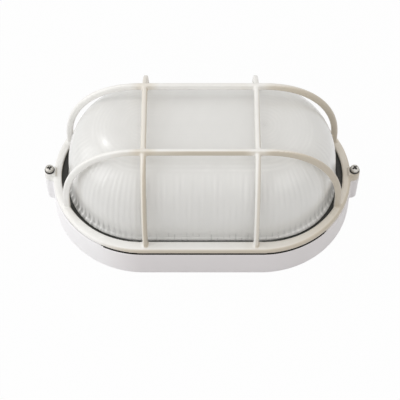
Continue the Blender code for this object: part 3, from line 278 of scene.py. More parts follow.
def end_shape_tree(tree, given, geometry):
    """Realize what the tree made, give it its material and put it out."""
    real = add_node(tree, "GeometryNodeRealizeInstances", {"Geometry": geometry})
    finished = add_node(tree, "GeometryNodeSetMaterial",
                        {"Geometry": real.outputs[0], "Material": given["Material"]})
    tree.links.new(finished.outputs[0], tree.nodes.new("NodeGroupOutput").inputs[0])
    return tree


def oval_sweep_tree():
    """Sweep a section round an oval with straight sides, and press flutes where the section says."""
    tree, given = start_shape_tree("sweep_round_oval", {
        "Half Length": "Float", "End Radius": "Float", "Points": "Int", "Flutes": "Int",
        "Flute Depth": "Float"})
    ring = add_node(tree, "GeometryNodeCurvePrimitiveCircle",
                    {"Resolution": 360, "Radius": given["End Radius"]})
    place = axes(tree, add_node(tree, "GeometryNodeInputPosition").outputs[0])
    straight = maths(tree, "SUBTRACT", given["Half Length"], given["End Radius"])
    shift = times(tree, maths(tree, "SIGN", place[0]), straight)
    pulled = add_node(tree, "GeometryNodeSetPosition",
                      {"Geometry": ring.outputs["Curve"], "Offset": vector(tree, shift)})
    even = add_node(tree, "GeometryNodeResampleCurve",
                    {"Curve": pulled.outputs[0], "Count": given["Points"]})
    level = add_node(tree, "GeometryNodeSetCurveNormal", {"Curve": even.outputs[0]}, mode="Z_UP")
    share = add_node(tree, "GeometryNodeSplineParameter").outputs["Factor"]
    marked = add_node(tree, "GeometryNodeStoreNamedAttribute",
                      {"Geometry": level.outputs[0], "Name": "around", "Value": share})
    drawn = add_node(tree, "GeometryNodeMeshToCurve", {"Mesh": given["Geometry"]})
    section = add_node(tree, "GeometryNodeTransform",
                       {"Geometry": drawn.outputs[0], "Rotation": (math.pi, 0.0, 0.0)})
    swept = add_node(tree, "GeometryNodeCurveToMesh",
                     {"Curve": marked.outputs[0], "Profile Curve": section.outputs[0]})
    around, weight, shown = (
        add_node(tree, "GeometryNodeInputNamedAttribute", {"Name": name}).outputs[0]
        for name in ("around", "flute", "shown"))
    turns = times(tree, around, given["Flutes"], 2 * math.pi)
    wave = spread(tree, maths(tree, "COSINE", turns), 0.0, 1.0, 1.0, -1.0)
    end = add_node(tree, "ShaderNodeClamp",
                   {"Value": place[0], "Max": straight, "Min": times(tree, straight, -1.0)})
    outward = add_node(tree, "ShaderNodeVectorMath", {
        0: vector(tree, maths(tree, "SUBTRACT", place[0], end.outputs[0]), place[1])},
        operation="NORMALIZE").outputs[0]
    inward = add_node(tree, "ShaderNodeVectorMath", {
        0: outward, "Scale": times(tree, wave, weight, given["Flute Depth"], -1.0)},
        operation="SCALE")
    noted = add_node(tree, "GeometryNodeStoreNamedAttribute", {
        "Geometry": swept.outputs[0], "Name": "ridge", "Value": times(tree, wave, shown)})
    fluted = add_node(tree, "GeometryNodeSetPosition",
                      {"Geometry": noted.outputs[0], "Offset": inward.outputs[0]})
    return end_shape_tree(tree, given, fluted.outputs[0])


def bar_tree():
    """Sweep a rounded trapezoid along a bar's outer line and set a bar out on both sides."""
    tree, given = start_shape_tree("pair_of_bars", {
        "Root Width": "Float", "Top Width": "Float", "Depth": "Float", "Edge": "Float",
        "Spacing": "Float", "Turn": "Float"})
    path = add_node(tree, "GeometryNodeMeshToCurve", {"Mesh": given["Geometry"]})
    plain = add_node(tree, "GeometryNodeCurvePrimitiveQuadrilateral", {
        "Bottom Width": given["Root Width"], "Top Width": given["Top Width"],
        "Height": given["Depth"], "Offset": 0.0}, mode="TRAPEZOID")
    soft = add_node(tree, "GeometryNodeFilletCurve", {
        "Curve": plain.outputs[0], "Count": 3, "Radius": given["Edge"], "Limit Radius": True},
        mode="POLY")
    section = add_node(tree, "GeometryNodeTransform", {
        "Geometry": soft.outputs[0], "Rotation": (0.0, 0.0, math.pi / 2),
        "Translation": vector(tree, times(tree, given["Depth"], 0.5))})
    bar = add_node(tree, "GeometryNodeCurveToMesh",
                   {"Curve": path.outputs[0], "Profile Curve": section.outputs[0], "Fill Caps": True})
    spots = add_node(tree, "GeometryNodeMeshLine", {
        "Count": 2, "Start Location": vector(tree, y=times(tree, given["Spacing"], -0.5)),
        "Offset": vector(tree, y=given["Spacing"])})
    pair = add_node(tree, "GeometryNodeInstanceOnPoints",
                    {"Points": spots.outputs[0], "Instance": bar.outputs[0]})
    turned = add_node(tree, "GeometryNodeTransform",
                      {"Geometry": pair.outputs[0], "Rotation": vector(tree, z=given["Turn"])})
    return end_shape_tree(tree, given, turned.outputs[0])


def row_tree():
    """Set a part out along a straight row, each one turned a step further than the last."""
    tree, given = start_shape_tree("row_of_parts", {
        "Count": "Int", "Start": "Vector", "Step": "Vector", "Tilt": "Vector", "Turn Step": "Float"})
    spots = add_node(tree, "GeometryNodeMeshLine", {
        "Count": given["Count"], "Start Location": given["Start"], "Offset": given["Step"]})
    index = add_node(tree, "GeometryNodeInputIndex").outputs[0]
    extra = vector(tree, z=times(tree, index, given["Turn Step"]))
    turn = add_node(tree, "ShaderNodeVectorMath", {0: given["Tilt"], 1: extra}, operation="ADD")
    row = add_node(tree, "GeometryNodeInstanceOnPoints", {
        "Points": spots.outputs[0], "Instance": given["Geometry"], "Rotation": turn.outputs[0]})
    return end_shape_tree(tree, given, row.outputs[0])


def run_tree(name, source, tree, values):
    """The plain mesh that a tree makes from a source mesh and its named sizes."""
    carrier = show(name + "_source", source)
    modifier = carrier.modifiers.new(name, "NODES")
    modifier.node_group = tree
    for item in tree.interface.items_tree:
        if item.in_out == "INPUT" and item.name in values:
            modifier[item.identifier] = values[item.name]
    mesh = settled_mesh(carrier)
    mesh.name = name
    return mesh


def show(name, data):
    """A new object of the scene."""
    obj = bpy.data.objects.new(name, data)
    bpy.context.scene.collection.objects.link(obj)
    return obj


def settled_mesh(obj, *helpers):
    """A plain mesh of an object as its modifiers leave it; the object and its helpers go."""
    graph = bpy.context.evaluated_depsgraph_get()
    graph.update()
    mesh = bpy.data.meshes.new_from_object(obj.evaluated_get(graph), preserve_all_data_layers=True,
                                           depsgraph=graph)
    obj.modifiers.clear()
    for used in (obj, *helpers):
        bpy.data.objects.remove(used)
    return mesh


def line_mesh(name, points, closed, marks=None):
    """A mesh of edges through the points, with the named numbers on its points where given."""
    mesh = bpy.data.meshes.new(name)
    edges = [(index, index + 1) for index in range(len(points) - 1)]
    if closed:
        edges.append((len(points) - 1, 0))
    mesh.from_pydata([tuple(point) for point in points], edges, [])
    for label, values in (marks or {}).items():
        mesh.attributes.new(label, "FLOAT", "POINT").data.foreach_set("value", values)
    return mesh


def rounded(corners, steps=5):
    """An outline from (x, y, radius) corners, each one rounded by its own radius."""
    points = []
    for index, (x, y, radius) in enumerate(corners):
        corner = Vector((x, y))
        if not radius:
            points.append(corner)
            continue
        before = Vector(corners[index - 1][:2])
        after = Vector(corners[(index + 1) % len(corners)][:2])
        start = corner + (before - corner).normalized() * radius
        end = corner + (after - corner).normalized() * radius
        for step in range(steps + 1):
            t = step / steps
            points.append(start * (1 - t) ** 2 + corner * 2 * t * (1 - t) + end * t * t)
    return points


def sweep_oval(name, corners, outline, points, tree, material, flutes=0, depth=0.0, closed=True,
               marks=None):
    """A mesh swept round an oval; the section's x is how far it stands out from the oval."""
    flat = [(x, y, 0.0) for x, y in corners]
    source = line_mesh(name + "_section", flat, closed, marks)
    values = {"Half Length": outline[0], "End Radius": outline[1], "Points": points,
              "Flutes": flutes, "Flute Depth": depth, "Material": material}
    return run_tree(name, source, tree, values)


def skin(bm, rings, closed=False, capped=True):
    """Faces between rings of points that have the same count."""
    loops = [[bm.verts.new(point) for point in ring] for ring in rings]
    pairs = list(zip(loops, loops[1:]))
    if closed:
        pairs.append((loops[-1], loops[0]))
    for first, second in pairs:
        for index in range(len(first)):
            after = (index + 1) % len(first)
            bm.faces.new((first[index], first[after], second[after], second[index]))
    if capped and not closed:
        bm.faces.new(loops[0])
        bm.faces.new(loops[-1])
    return loops


def circle(radius, z, count, centre=(0.0, 0.0)):
    """Points round a level circle."""
    points = []
    for step in range(count):
        angle = 2 * math.pi * step / count
        points.append((centre[0] + radius * math.cos(angle), centre[1] + radius * math.sin(angle), z))
    return points


def add_pin(bm, radius, low, high, centre, count=32):
    """A closed upright cylinder."""
    skin(bm, [circle(radius, low, count, centre), circle(radius, high, count, centre)])


def finish_bmesh(name, bm, matrix=None):
    """A mesh with its doubles merged and its faces turned outwards."""
    bmesh.ops.remove_doubles(bm, verts=bm.verts, dist=1e-7)
    bmesh.ops.recalc_face_normals(bm, faces=bm.faces)
    if matrix is not None:
        bmesh.ops.transform(bm, matrix=matrix, verts=bm.verts)
    mesh = bpy.data.meshes.new(name)
    bm.to_mesh(mesh)
    bm.free()
    return mesh


def tidy_mesh(mesh, seal=False):
    """Merge a mesh's doubles, close its open ends where asked, and turn its faces outwards."""
    bm = bmesh.new()
    bm.from_mesh(mesh)
    bmesh.ops.remove_doubles(bm, verts=bm.verts, dist=1e-6)
    if seal:
        bmesh.ops.holes_fill(bm, edges=[edge for edge in bm.edges if edge.is_boundary], sides=0)
    bmesh.ops.recalc_face_normals(bm, faces=bm.faces)
    bm.to_mesh(mesh)
    bm.free()
    return mesh


def turned_mesh(name, profile, count, matrix=None, closed=False):
    """A turned shape about z from pairs of radius and height."""
    bm = bmesh.new()
    skin(bm, [circle(radius, z, count) for radius, z in profile], closed=closed)
    return finish_bmesh(name, bm, matrix)


def cut(mesh, tool, operation="DIFFERENCE"):
    """Another mesh joined to this one, or cut away from it."""
    body = show("body", mesh)
    helper = show("helper", tool)
    modifier = body.modifiers.new("cut", "BOOLEAN")
    modifier.operation = operation
    modifier.solver = "MANIFOLD"
    modifier.object = helper
    return settled_mesh(body, helper)


def cast_skin(mesh, voxel, passes):
    """Melt overlapping shells into one casting with soft inner corners."""
    body = show("casting", mesh)
    remesh = body.modifiers.new("remesh", "REMESH")
    remesh.mode = "VOXEL"
    remesh.voxel_size = voxel
    body.modifiers.new("smooth", "SMOOTH").iterations = passes
    return settled_mesh(body)


def joined(name, meshes):
    """One mesh that holds several."""
    bm = bmesh.new()
    for mesh in meshes:
        bm.from_mesh(mesh)
    mesh = bpy.data.meshes.new(name)
    bm.to_mesh(mesh)
    bm.free()
    return mesh


def add_piece(name, mesh, material, slot, *nodes, sharp=35.0):
    """Show a mesh as a finished piece that stands for the named nodes of the model."""
    mesh.materials.clear()
    mesh.materials.append(material)
    mesh.shade_smooth()
    mesh.set_sharp_from_angle(angle=math.radians(sharp))
    obj = show(name, mesh)
    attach(obj, BODY)
    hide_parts(*nodes)
    return obj


def inset(sizes, distance):
    """The body's half length and end radius, moved inwards."""
    return (sizes.body_length / 2 - distance, sizes.body_width / 2 - distance)


def bar_line(straight, foot, power, top, steps=26):
    """Half a bar's outer line, from its foot in the ring up to the middle, in x and z."""
    points = [(foot, RING_TOP - 1.4 * MM), (foot, RING_TOP), (foot, RING_TOP + 2.0 * MM)]
    for step in range(steps + 1):
        angle = math.pi / 2 * (1 - step / steps)
        along = straight + (foot - straight) * math.sin(angle) ** (2.0 / power)
        height = FOOT_TOP + (top - FOOT_TOP) * max(math.cos(angle), 0.0) ** (2.0 / power)
        points.append((along, height))
    points.append((0.0, top))
    return points


def bar_pair(sizes, name, straight, foot, power, spacing, turn, tree, material):
    """Two like bars of the guard."""
    half = bar_line(straight, foot, power, sizes.total_depth)
    path = [(-x, 0.0, z) for x, z in half] + [(x, 0.0, z) for x, z in reversed(half[:-1])]
    values = {"Root Width": sizes.bar_root, "Top Width": sizes.bar_top, "Depth": sizes.bar_depth,
              "Edge": BAR_EDGE, "Spacing": spacing, "Turn": turn, "Material": material}
    return run_tree(name, line_mesh(name + "_line", path, False), tree, values)


def ear_outline(radius, root_x, root_width, z, fillet, steps=14):
    """An ear from the front: a round nose, straight flanks and soft corners where it meets the body."""
    points = []
    for step in range(steps + 1):
        angle = math.pi * step / steps - math.pi / 2
        points.append((EAR_X + radius * math.cos(angle), radius * math.sin(angle), z))
    half = root_width / 2
    flank_x = root_x + fillet
    upper = []
    for step in range(6):
        t = step / 5
        x = flank_x * (1 - t) ** 2 + root_x * 2 * t * (1 - t) + root_x * t * t
        y = (half - 0.1 * fillet) * (1 - t) ** 2 + half * 2 * t * (1 - t) + (half + fillet) * t * t
        upper.append((x, y))
    points += [(x, y, z) for x, y in upper]
    points += [(root_x - 1.0 * MM, half + fillet, z), (root_x - 1.0 * MM, -half - fillet, z)]
    points += [(x, -y, z) for x, y in reversed(upper)]
    return points


def both_ends(bm, rings):
    """The same ring-built shape at both ends of the light."""
    for side in (-1, 1):
        skin(bm, [[(side * x, y, z) for x, y, z in ring] for ring in rings])


def guard_ears():
    """The guard's two ears, which stand above the ring, with holes for their screws."""
    bm = bmesh.new()
    both_ends(bm, [
        ear_outline(EAR_RADIUS - taper, EAR_ROOT_X, EAR_ROOT_WIDTH, z, EAR_FILLET)
        for z, taper in ((EAR_SEAM, 0.15 * MM), (EAR_SEAM + 0.3 * MM, 0.0), (RING_TOP - 1.6 * MM, 0.0))])
    inner = EAR_X - 3.4 * MM
    width = 2 * EAR_RADIUS - 0.6 * MM
    both_ends(bm, [
        ear_outline(EAR_RADIUS, inner - 1.2 * MM, width + 1.6 * MM, RING_TOP - 2.4 * MM, 0.8 * MM),
        ear_outline(EAR_RADIUS, inner - 0.5 * MM, width + 0.8 * MM, RING_TOP - 0.1 * MM, 0.6 * MM),
        ear_outline(EAR_RADIUS, inner, width, RING_TOP + 0.8 * MM, 0.3 * MM),
        ear_outline(EAR_RADIUS, inner, width, EAR_TOP - 0.4 * MM, 0.3 * MM),
        ear_outline(EAR_RADIUS - 0.4 * MM, inner + 0.3 * MM, width - 0.6 * MM, EAR_TOP, 0.2 * MM),
    ])
    ears = finish_bmesh("guard_ears", bm)
    bm = bmesh.new()
    for side in (-1, 1):
        add_pin(bm, HOLE_RADIUS, EAR_SEAM - OVERLAP, EAR_TOP + OVERLAP, (side * EAR_X, 0.0))
    return cut(ears, finish_bmesh("ear_holes", bm))


def paint_seam_shade(mesh, grime, low, high, facing):
    """Paint the faces inside the narrow seam between guard and base near-black, as painted shade in the
    gap.
    """
    mesh.materials.append(grime)
    for face in mesh.polygons:
        x, _, z = face.center
        if low < z < high and face.normal.z * facing > 0.8 and SEAM_SHADE_SPAN[0] < x < SEAM_SHADE_SPAN[1]:
            face.material_index = len(mesh.materials) - 1


def make_guard(sizes, material, grime):
    """The guard: ring, two long bars, two cross bars and two ears, all one casting."""
    section = rounded([
        (-RING_INSET, RING_BOTTOM, 0.8 * MM),
        (-RING_INSET, RING_TOP, 2.6 * MM),
        (-RING_WIDTH, RING_TOP, 0.8 * MM),
        (-RING_WIDTH, LIP_UNDERSIDE, 0.3 * MM),
        (-RIM_LAND, LIP_UNDERSIDE, 0.0),
        (-RIM_LAND, RING_BOTTOM, 0.2 * MM),
    ])
    ring = sweep_oval("ring", section, inset(sizes, 0.0), 360, oval_sweep_tree(), material)
    slide_ring_opening(ring, sizes)
    bars = bar_tree()
    long_bars = bar_pair(sizes, "long_bars", LONG_BAR_STRAIGHT, LONG_BAR_FOOT, LONG_BAR_POWER,
                         2 * LONG_BAR_Y, 0.0, bars, material)
    cross_bars = bar_pair(sizes, "cross_bars", CROSS_BAR_STRAIGHT, CROSS_BAR_FOOT, CROSS_BAR_POWER,
                          2 * CROSS_BAR_X, math.pi / 2, bars, material)
    cross_bars.transform(Matrix.Translation((CROSS_BAR_SHIFT, 0.0, 0.0)))
    shells = joined("guard_shells", [ring, long_bars, cross_bars, guard_ears()])
    casting = cast_skin(tidy_mesh(shells), sizes.cast_detail, 5)
    piece = add_piece("cast_guard", casting, material, "guard_paint", "guard", sharp=60.0)
    # The inside of the seam is painted near-black as shade
    paint_seam_shade(piece.data, grime, RING_BOTTOM - 0.4 * MM, RING_BOTTOM + 0.4 * MM, -1)
    return piece


def slide_ring_opening(ring, sizes):
    """Widen the ring's opening at the ends and narrow it at the sides, as the real ring's is."""
    outer_length, outer_radius = inset(sizes, 0.0)
    straight = outer_length - outer_radius
    for vertex in ring.vertices:
        x, y, _ = vertex.co
        centre = max(-straight, min(straight, x))
        reach = Vector((x - centre, y, 0.0))
        inside = outer_radius - reach.length
        if inside > 6.0 * MM:
            towards_end = abs(reach.x) / max(reach.length, 1e-9)
            wanted = RING_WIDTH_SIDE + (RING_WIDTH_END - RING_WIDTH_SIDE) * towards_end
            vertex.co += reach.normalized() * (RING_WIDTH - wanted)


def make_glass(sizes, material):
    """The pressed glass: flange, clear foot, fluted wall and crown with concentric ribs inside.

    Its points carry where the flutes' ridges and the crown's ribs lie, which the material paints as lines
    of light and shade on the smooth outer face.
    """
    wall_length, wall_radius = inset(sizes, GLASS_WALL)
    inner_radius = wall_radius - (GLASS_INNER - GLASS_WALL)
    points = []
    marks = {"flute": [], "shown": [], "rib": []}

    def add(radius, z, flute=0.0, shown=0.0, rib=0.0):
        points.append((radius - wall_radius, z))
        for values, value in zip(marks.values(), (flute, shown, rib)):
            values.append(value)

    add_inner_face(add, sizes, inner_radius)
    add_flange_and_foot(add, wall_radius, inner_radius)
    add_outer_face(add, sizes, wall_radius)
    straight = wall_length - wall_radius
    flutes = round((4 * straight + 2 * math.pi * inner_radius) / sizes.flute_pitch)
    mesh = sweep_oval("ribbed_glass", points, (wall_length, wall_radius), flutes * 4,
                      oval_sweep_tree(), material, flutes, sizes.flute_depth, False, marks)
    fill_corners(mesh, straight, wall_radius)
    tidy_mesh(mesh, seal=True)
    return add_piece("ribbed_glass_bowl", mesh, material, "glass", "glass_diffuser", sharp=50.0)


def add_inner_face(add, sizes, radius):
    """The inside of the glass: ribbed crown, and fluted wall down to the flange."""
    rib_start = dome_radius(radius, sizes.flute_top) - 1.6 * MM
    add(MIDDLE_GAP, CHAMBER_TOP)
    for step in range(4 * int((rib_start - RIB_END) / sizes.rib_pitch), -1, -1):
        along = rib_start - step * sizes.rib_pitch / 4
        wave = rib_wave(step)
        add(along, dome_height(along, radius, CHAMBER_TOP) - sizes.rib_depth * wave, rib=wave)
    fade = (0.0, 0.55, 0.95, 1.0)
    for step in range(15):
        share = sizes.flute_top * (1 - step / 14) + 0.03 * step / 14
        flute = fade[min(step, 3)] * min(1.0, (14 - step) / 1.5)
        add(dome_radius(radius, share), FLANGE_TOP + (CHAMBER_TOP - FLANGE_TOP) * share, flute, flute)


def add_flange_and_foot(add, wall_radius, inner_radius):
    """The flange under the gasket, the foot that stands up through it, and the flare to the wall."""
    foot = wall_radius + GLASS_WALL - GLASS_FOOT
    flange = wall_radius + GLASS_WALL - FLANGE_OUTER
    corners = [(inner_radius, FLANGE_TOP, 0.0), (inner_radius, FLANGE_BOTTOM, 0.6 * MM),
               (flange, FLANGE_BOTTOM, 0.6 * MM), (flange, FLANGE_TOP, 0.6 * MM),
               (foot, FLANGE_TOP, 0.3 * MM), (foot, GASKET_TOP, 0.0)]
    for radius, z in rounded(corners, 3)[1:]:
        add(radius, z)
    for step in range(1, 6):
        t = step / 6
        ease = t * t * (3 - 2 * t)
        add(foot + (wall_radius - foot) * ease, GASKET_TOP + FOOT_FLARE * t, shown=1.0)


def add_outer_face(add, sizes, radius):
    """The outside of the glass: a smooth wall and crown whose points mark where the flutes and ribs inside
    lie, for their painted lines.
    """
    start = 0.12
    for step in range(17):
        share = start + (FLUTES_SHOWN - start) * math.sin(math.pi / 2 * step / 16)
        add(dome_radius(radius, share), FLANGE_TOP + (GLASS_CROWN - FLANGE_TOP) * share,
            shown=min(1.0, (16 - step) / 5))
    crown = dome_radius(radius, FLUTES_SHOWN)
    for step in range(1, 4 * int((crown - RIB_END) / sizes.rib_pitch)):
        along = crown - step * sizes.rib_pitch / 4
        add(along, dome_height(along, radius, GLASS_CROWN), rib=rib_wave(step) * rib_clearness(along))
    add(MIDDLE_GAP, GLASS_CROWN)


def fill_corners(mesh, straight, radius):
    """Spread the foot of the glass a little over the gasket at its four round corners."""
    for vertex in mesh.vertices:
        place = vertex.co
        along = abs(place.x) - straight
        reach = math.hypot(along, place.y)
        share = (place.z - GASKET_TOP) / FOOT_FLARE
        if along > 0 and reach > radius - OUTSIDE_BAND and 0.05 < share < 1:
            corner = math.sin(2 * math.atan2(abs(place.y), along)) ** 2
            grow = 1 + CORNER_SPREAD * corner * (1 - share ** 2) / reach
            place.x = math.copysign(straight + along * grow, place.x)
            place.y *= grow


def dome_radius(radius, share):
    """The dome's radius at a share of its height."""
    return radius * (1 - share ** DOME_POWER) ** (1 / DOME_POWER)


def dome_height(radius, wall_radius, top):
    """The dome's height at a radius."""
    share = (1 - min(1.0, radius / wall_radius) ** DOME_POWER) ** (1 / DOME_POWER)
    return FLANGE_TOP + (top - FLANGE_TOP) * share


def rib_clearness(radius):
    """How clearly a rib of the crown shows: best in its middle and near its edge."""
    return 0.35 + 0.65 * abs(math.cos(math.pi * radius / CROWN_RIPPLE))


def rib_wave(step):
    """How deep a rib's ring of points lies, for four rings to a rib."""
    return (1 - math.cos(math.pi * step / 2)) / 2


def make_gasket(sizes, material):
    """The rubber ring round the foot of the glass, with a slightly uneven moulded lip."""
    outer = -GASKET_OUTER
    lip = -GLASS_FOOT + 0.25 * MM
    wall = 1.5 * MM
    section = rounded([
        (outer, GASKET_BOTTOM, 0.5 * MM),
        (outer, GASKET_TOP, 0.5 * MM),
        (lip, GASKET_TOP, 0.6 * MM),
        (lip, GASKET_TOP - wall, 0.3 * MM),
        (outer - wall, GASKET_TOP - wall, 0.3 * MM),
        (outer - wall, GASKET_BOTTOM + wall, 0.3 * MM),
        (lip, GASKET_BOTTOM + wall, 0.3 * MM),
        (lip, GASKET_BOTTOM, 0.5 * MM),
    ], 4)
    mesh = sweep_oval("gasket", section, inset(sizes, 0.0), 520, oval_sweep_tree(), material)
    for vertex in mesh.vertices:
        if vertex.co.z > GASKET_TOP - 0.5 * MM:
            vertex.co.z += 0.12 * MM * min(0.0, noise.noise(vertex.co * 240.0))
    return add_piece("rubber_gasket", tidy_mesh(mesh), material, "rubber", "glass_gasket")


def make_base(sizes, material, grime):
    """The cast base: outer wall, seat, tub, floor, pocket behind with its ribs, ears and holes."""
    outline = inset(sizes, 0.0)
    low = -TUB_INNER - TUB_DRAFT
    centre = MIDDLE_GAP - outline[1]
    section = rounded([
        (centre, FLOOR, 0.0),
        (low, FLOOR, 2.4 * MM),
        (-TUB_INNER, SEAT_HEIGHT, 0.6 * MM),
        (-RIM_LAND, SEAT_HEIGHT, 0.3 * MM),
        (-RIM_LAND, RIM_HEIGHT, 0.3 * MM),
        (0.0, RIM_HEIGHT, 0.9 * MM),
        (0.0, 0.0, 0.9 * MM),
        (-SKIRT_WALL + 0.4 * MM, 0.0, 0.3 * MM),
        (-SKIRT_WALL, POCKET_TOP, 1.4 * MM),
        (-TUB_INNER + TUB_WALL, POCKET_TOP, 1.4 * MM),
        (low + TUB_WALL, 0.0, 0.5 * MM),
        (centre, 0.0, 0.0),
    ])
    shell = sweep_oval("base_shell", section, outline, 280, oval_sweep_tree(), material, closed=False)
    tidy_mesh(shell, seal=True)
    body = cut(shell, base_additions(outline), "UNION")
    body = cut(body, base_holes())
    piece = add_piece("cast_base", body, material, "base_paint", "base_housing", sharp=38.0)
    # The inside of the seam is painted near-black as shade
    paint_seam_shade(piece.data, grime, RIM_HEIGHT - 0.2 * MM, RIM_HEIGHT + 0.1 * MM, 1)
    return piece


def base_additions(outline):
    """The ears, the bosses on the floor and the ribs in the pocket behind."""
    bm = bmesh.new()
    levels = [(RIM_HEIGHT - 0.05 * MM, 0.35 * MM), (RIM_HEIGHT - 0.4 * MM, 0.0)]
    for step in range(5):
        angle = math.pi / 2 * step / 4
        levels.append((EAR_FOOT + EAR_ROUND * (1 - math.sin(angle)),
                       EAR_DRAFT + EAR_ROUND * (1 - math.cos(angle))))
    root = EAR_ROOT_X + 0.2 * MM
    both_ends(bm, [ear_outline(EAR_RADIUS - taper, root, EAR_ROOT_WIDTH - 2 * taper, z, EAR_FILLET)
                   for z, taper in levels])
    for x, y, height in BOSSES:
        add_pin(bm, BOSS_RADIUS, FLOOR - OVERLAP, FLOOR + height, (x, y))
    add_pocket_ribs(bm, outline)
    return finish_bmesh("base_additions", bm)


def base_holes():
    """The holes for the guard's screws and the inner screws, the wall slots and the cable hole."""
    bm = bmesh.new()
    for side in (-1, 1):
        add_pin(bm, HOLE_RADIUS, EAR_HOLE_FLOOR, RIM_HEIGHT + OVERLAP, (side * EAR_X, 0.0))
        add_slot(bm, side * SLOT_Y)
    for x, y, height in BOSSES:
        add_pin(bm, HOLE_RADIUS, BLIND_HOLE_FLOOR, FLOOR + height + OVERLAP, (x, y))
    recess = GROMMET_FLANGE + 0.3 * MM
    profile = [(recess, -OVERLAP), (recess, 2.0 * MM), (CABLE_RADIUS, 2.0 * MM),
               (CABLE_RADIUS, FLOOR + OVERLAP)]
    skin(bm, [circle(radius, z, 48, (CABLE_X, 0.0)) for radius, z in profile])
    return finish_bmesh("base_holes", bm)


def add_slot(bm, y):
    """A round-ended slot through the floor for a wall screw."""
    half = SLOT_HALF_LENGTH - SLOT_RADIUS
    rings = []
    for z in (-OVERLAP, FLOOR + OVERLAP):
        ring = []
        for step in range(25):
            angle = math.pi * step / 24 - math.pi / 2
            ring.append((half + SLOT_RADIUS * math.cos(angle), y + SLOT_RADIUS * math.sin(angle), z))
        ring += [(-x, 2 * y - v, w) for x, v, w in ring]
        rings.append(ring)
    skin(bm, rings)


def add_pocket_ribs(bm, outline):
    """Thin walls across the pocket between the tub and the outer wall, seen from behind."""
    inner = outline[1] - TUB_INNER - TUB_DRAFT + TUB_WALL - OVERLAP
    outer = outline[1] - SKIRT_WALL + OVERLAP
    half = RIB_THICKNESS / 2
    straight = outline[0] - outline[1]
    walls = [(x, turn) for x in (-SIDE_RIB_X, SIDE_RIB_X) for turn in (-90.0, 90.0)]
    for turn in (-END_RIB_ANGLE, END_RIB_ANGLE):
        walls += [(straight, turn), (-straight, 180.0 + turn)]
    corners = ((inner, -half), (outer, -half), (outer, half), (inner, half))
    for x, turn in walls:
        matrix = Matrix.Translation((x, 0.0, 0.0)) @ Matrix.Rotation(math.radians(turn), 4, "Z")
        skin(bm, [[matrix @ Vector((*corner, z)) for corner in corners]
                  for z in (RIB_SETBACK, POCKET_TOP + OVERLAP)])


def screw_shape(length, count=40):
    """A pan-head screw with a rolled thread and a cross recess; its head stands on z = 0."""
    pitch = 0.8 * MM
    depth = 0.16 * MM
    rows_per_turn = 5
    rings = [circle(SCREW_RADIUS * 0.45, -length, count),
             circle(SCREW_RADIUS * 0.8, -length + 0.5 * MM, count)]
    rows = int((length - 2.0 * MM) / pitch * rows_per_turn)
    for row in range(rows):
        z = -length + 0.9 * MM + row * pitch / rows_per_turn
        ring = []
        for step in range(count):
            phase = (row / rows_per_turn - step / count) % 1.0
            radius = SCREW_RADIUS - depth * abs(2 * phase - 1)
            angle = 2 * math.pi * step / count
            ring.append((radius * math.cos(angle), radius * math.sin(angle), z))
        rings.append(ring)
    rings.append(circle(SCREW_RADIUS - depth, -0.5 * MM, count))
    rings.append(circle(SCREW_RADIUS, 0.0, count))
    head = [(0.97, 0.0), (1.0, 0.06), (1.0, 0.42), (0.975, 0.56), (0.92, 0.72), (0.82, 0.85),
            (0.68, 0.94), (0.5, 0.985), (0.25, 1.0)]
    rings += [circle(HEAD_RADIUS * share, HEAD_HEIGHT * height, count) for share, height in head]
    bm = bmesh.new()
    skin(bm, rings)
    screw = finish_bmesh("screw", bm)
    bm = bmesh.new()
    levels = ((0.74, 0.25, HEAD_HEIGHT + 0.3 * MM), (0.64, 0.2, HEAD_HEIGHT * 0.96),
              (0.3, 0.1, HEAD_HEIGHT - 1.3 * MM))
    skin(bm, [cross_ring(HEAD_RADIUS * arm, HEAD_RADIUS * half, z) for arm, half, z in levels])
    return cut(screw, finish_bmesh("cross", bm))


def cross_ring(arm, half, z):
    """Points round a cross with small rounded inner corners."""
    quarter = [(arm, -half), (arm, half), (half * 1.5, half), (half * 1.1, half * 1.1),
               (half, half * 1.5)]
    points = []
    for turn in range(4):
        matrix = Matrix.Rotation(turn * math.pi / 2, 2)
        points += [(*(matrix @ Vector(corner)), z) for corner in quarter]
    return points


def make_fasteners(material, dull, grime):
    """The two guard screws and their washers, set out from one end of the light to the other."""
    row = row_tree()
    values = {"Count": 2, "Start": (-EAR_X, 0.0, HEAD_Z), "Step": (2 * EAR_X, 0.0, 0.0),
              "Tilt": (0.0, 0.0, math.radians(14.0)), "Turn Step": math.radians(24.0),
              "Material": material}
    screws = run_tree("guard_screws", screw_shape(GUARD_SCREW_LENGTH), row, values)
    add_piece("guard_screws", screws, material, "steel", "guard_screw_left", "guard_screw_right")
    # The faces of each cross recess are painted near-black, as shade in the recess
    screws.materials.append(grime)
    for face in screws.polygons:
        spot = face.center - Vector((math.copysign(EAR_X, face.center.x), 0.0, 0.0))
        inside = spot.xy.length < 0.75 * HEAD_RADIUS and spot.z > HEAD_Z + 0.4 * HEAD_HEIGHT
        if inside and (face.normal.z < 0.6 or spot.z < HEAD_Z + 0.6 * HEAD_HEIGHT):
            face.material_index = 1
    profile = [(HOLE_RADIUS, 0.05 * MM), (HOLE_RADIUS + 0.05 * MM, 0.0), (WASHER_RADIUS - 0.1 * MM, 0.0),
               (WASHER_RADIUS, 0.1 * MM), (WASHER_RADIUS, WASHER_THICKNESS - 0.12 * MM),
               (WASHER_RADIUS - 0.12 * MM, WASHER_THICKNESS), (HOLE_RADIUS, WASHER_THICKNESS)]
    washer = turned_mesh("washer", profile, 48, closed=True)
    values["Start"] = (-EAR_X, 0.0, WASHER_Z)
    # The washers are near-black, as painted shade beneath the screw heads
    values["Material"] = dull
    washers = run_tree("guard_washers", washer, row, values)
    add_piece("guard_washers", washers, dull, "steel", "guard_washer_left", "guard_washer_right")


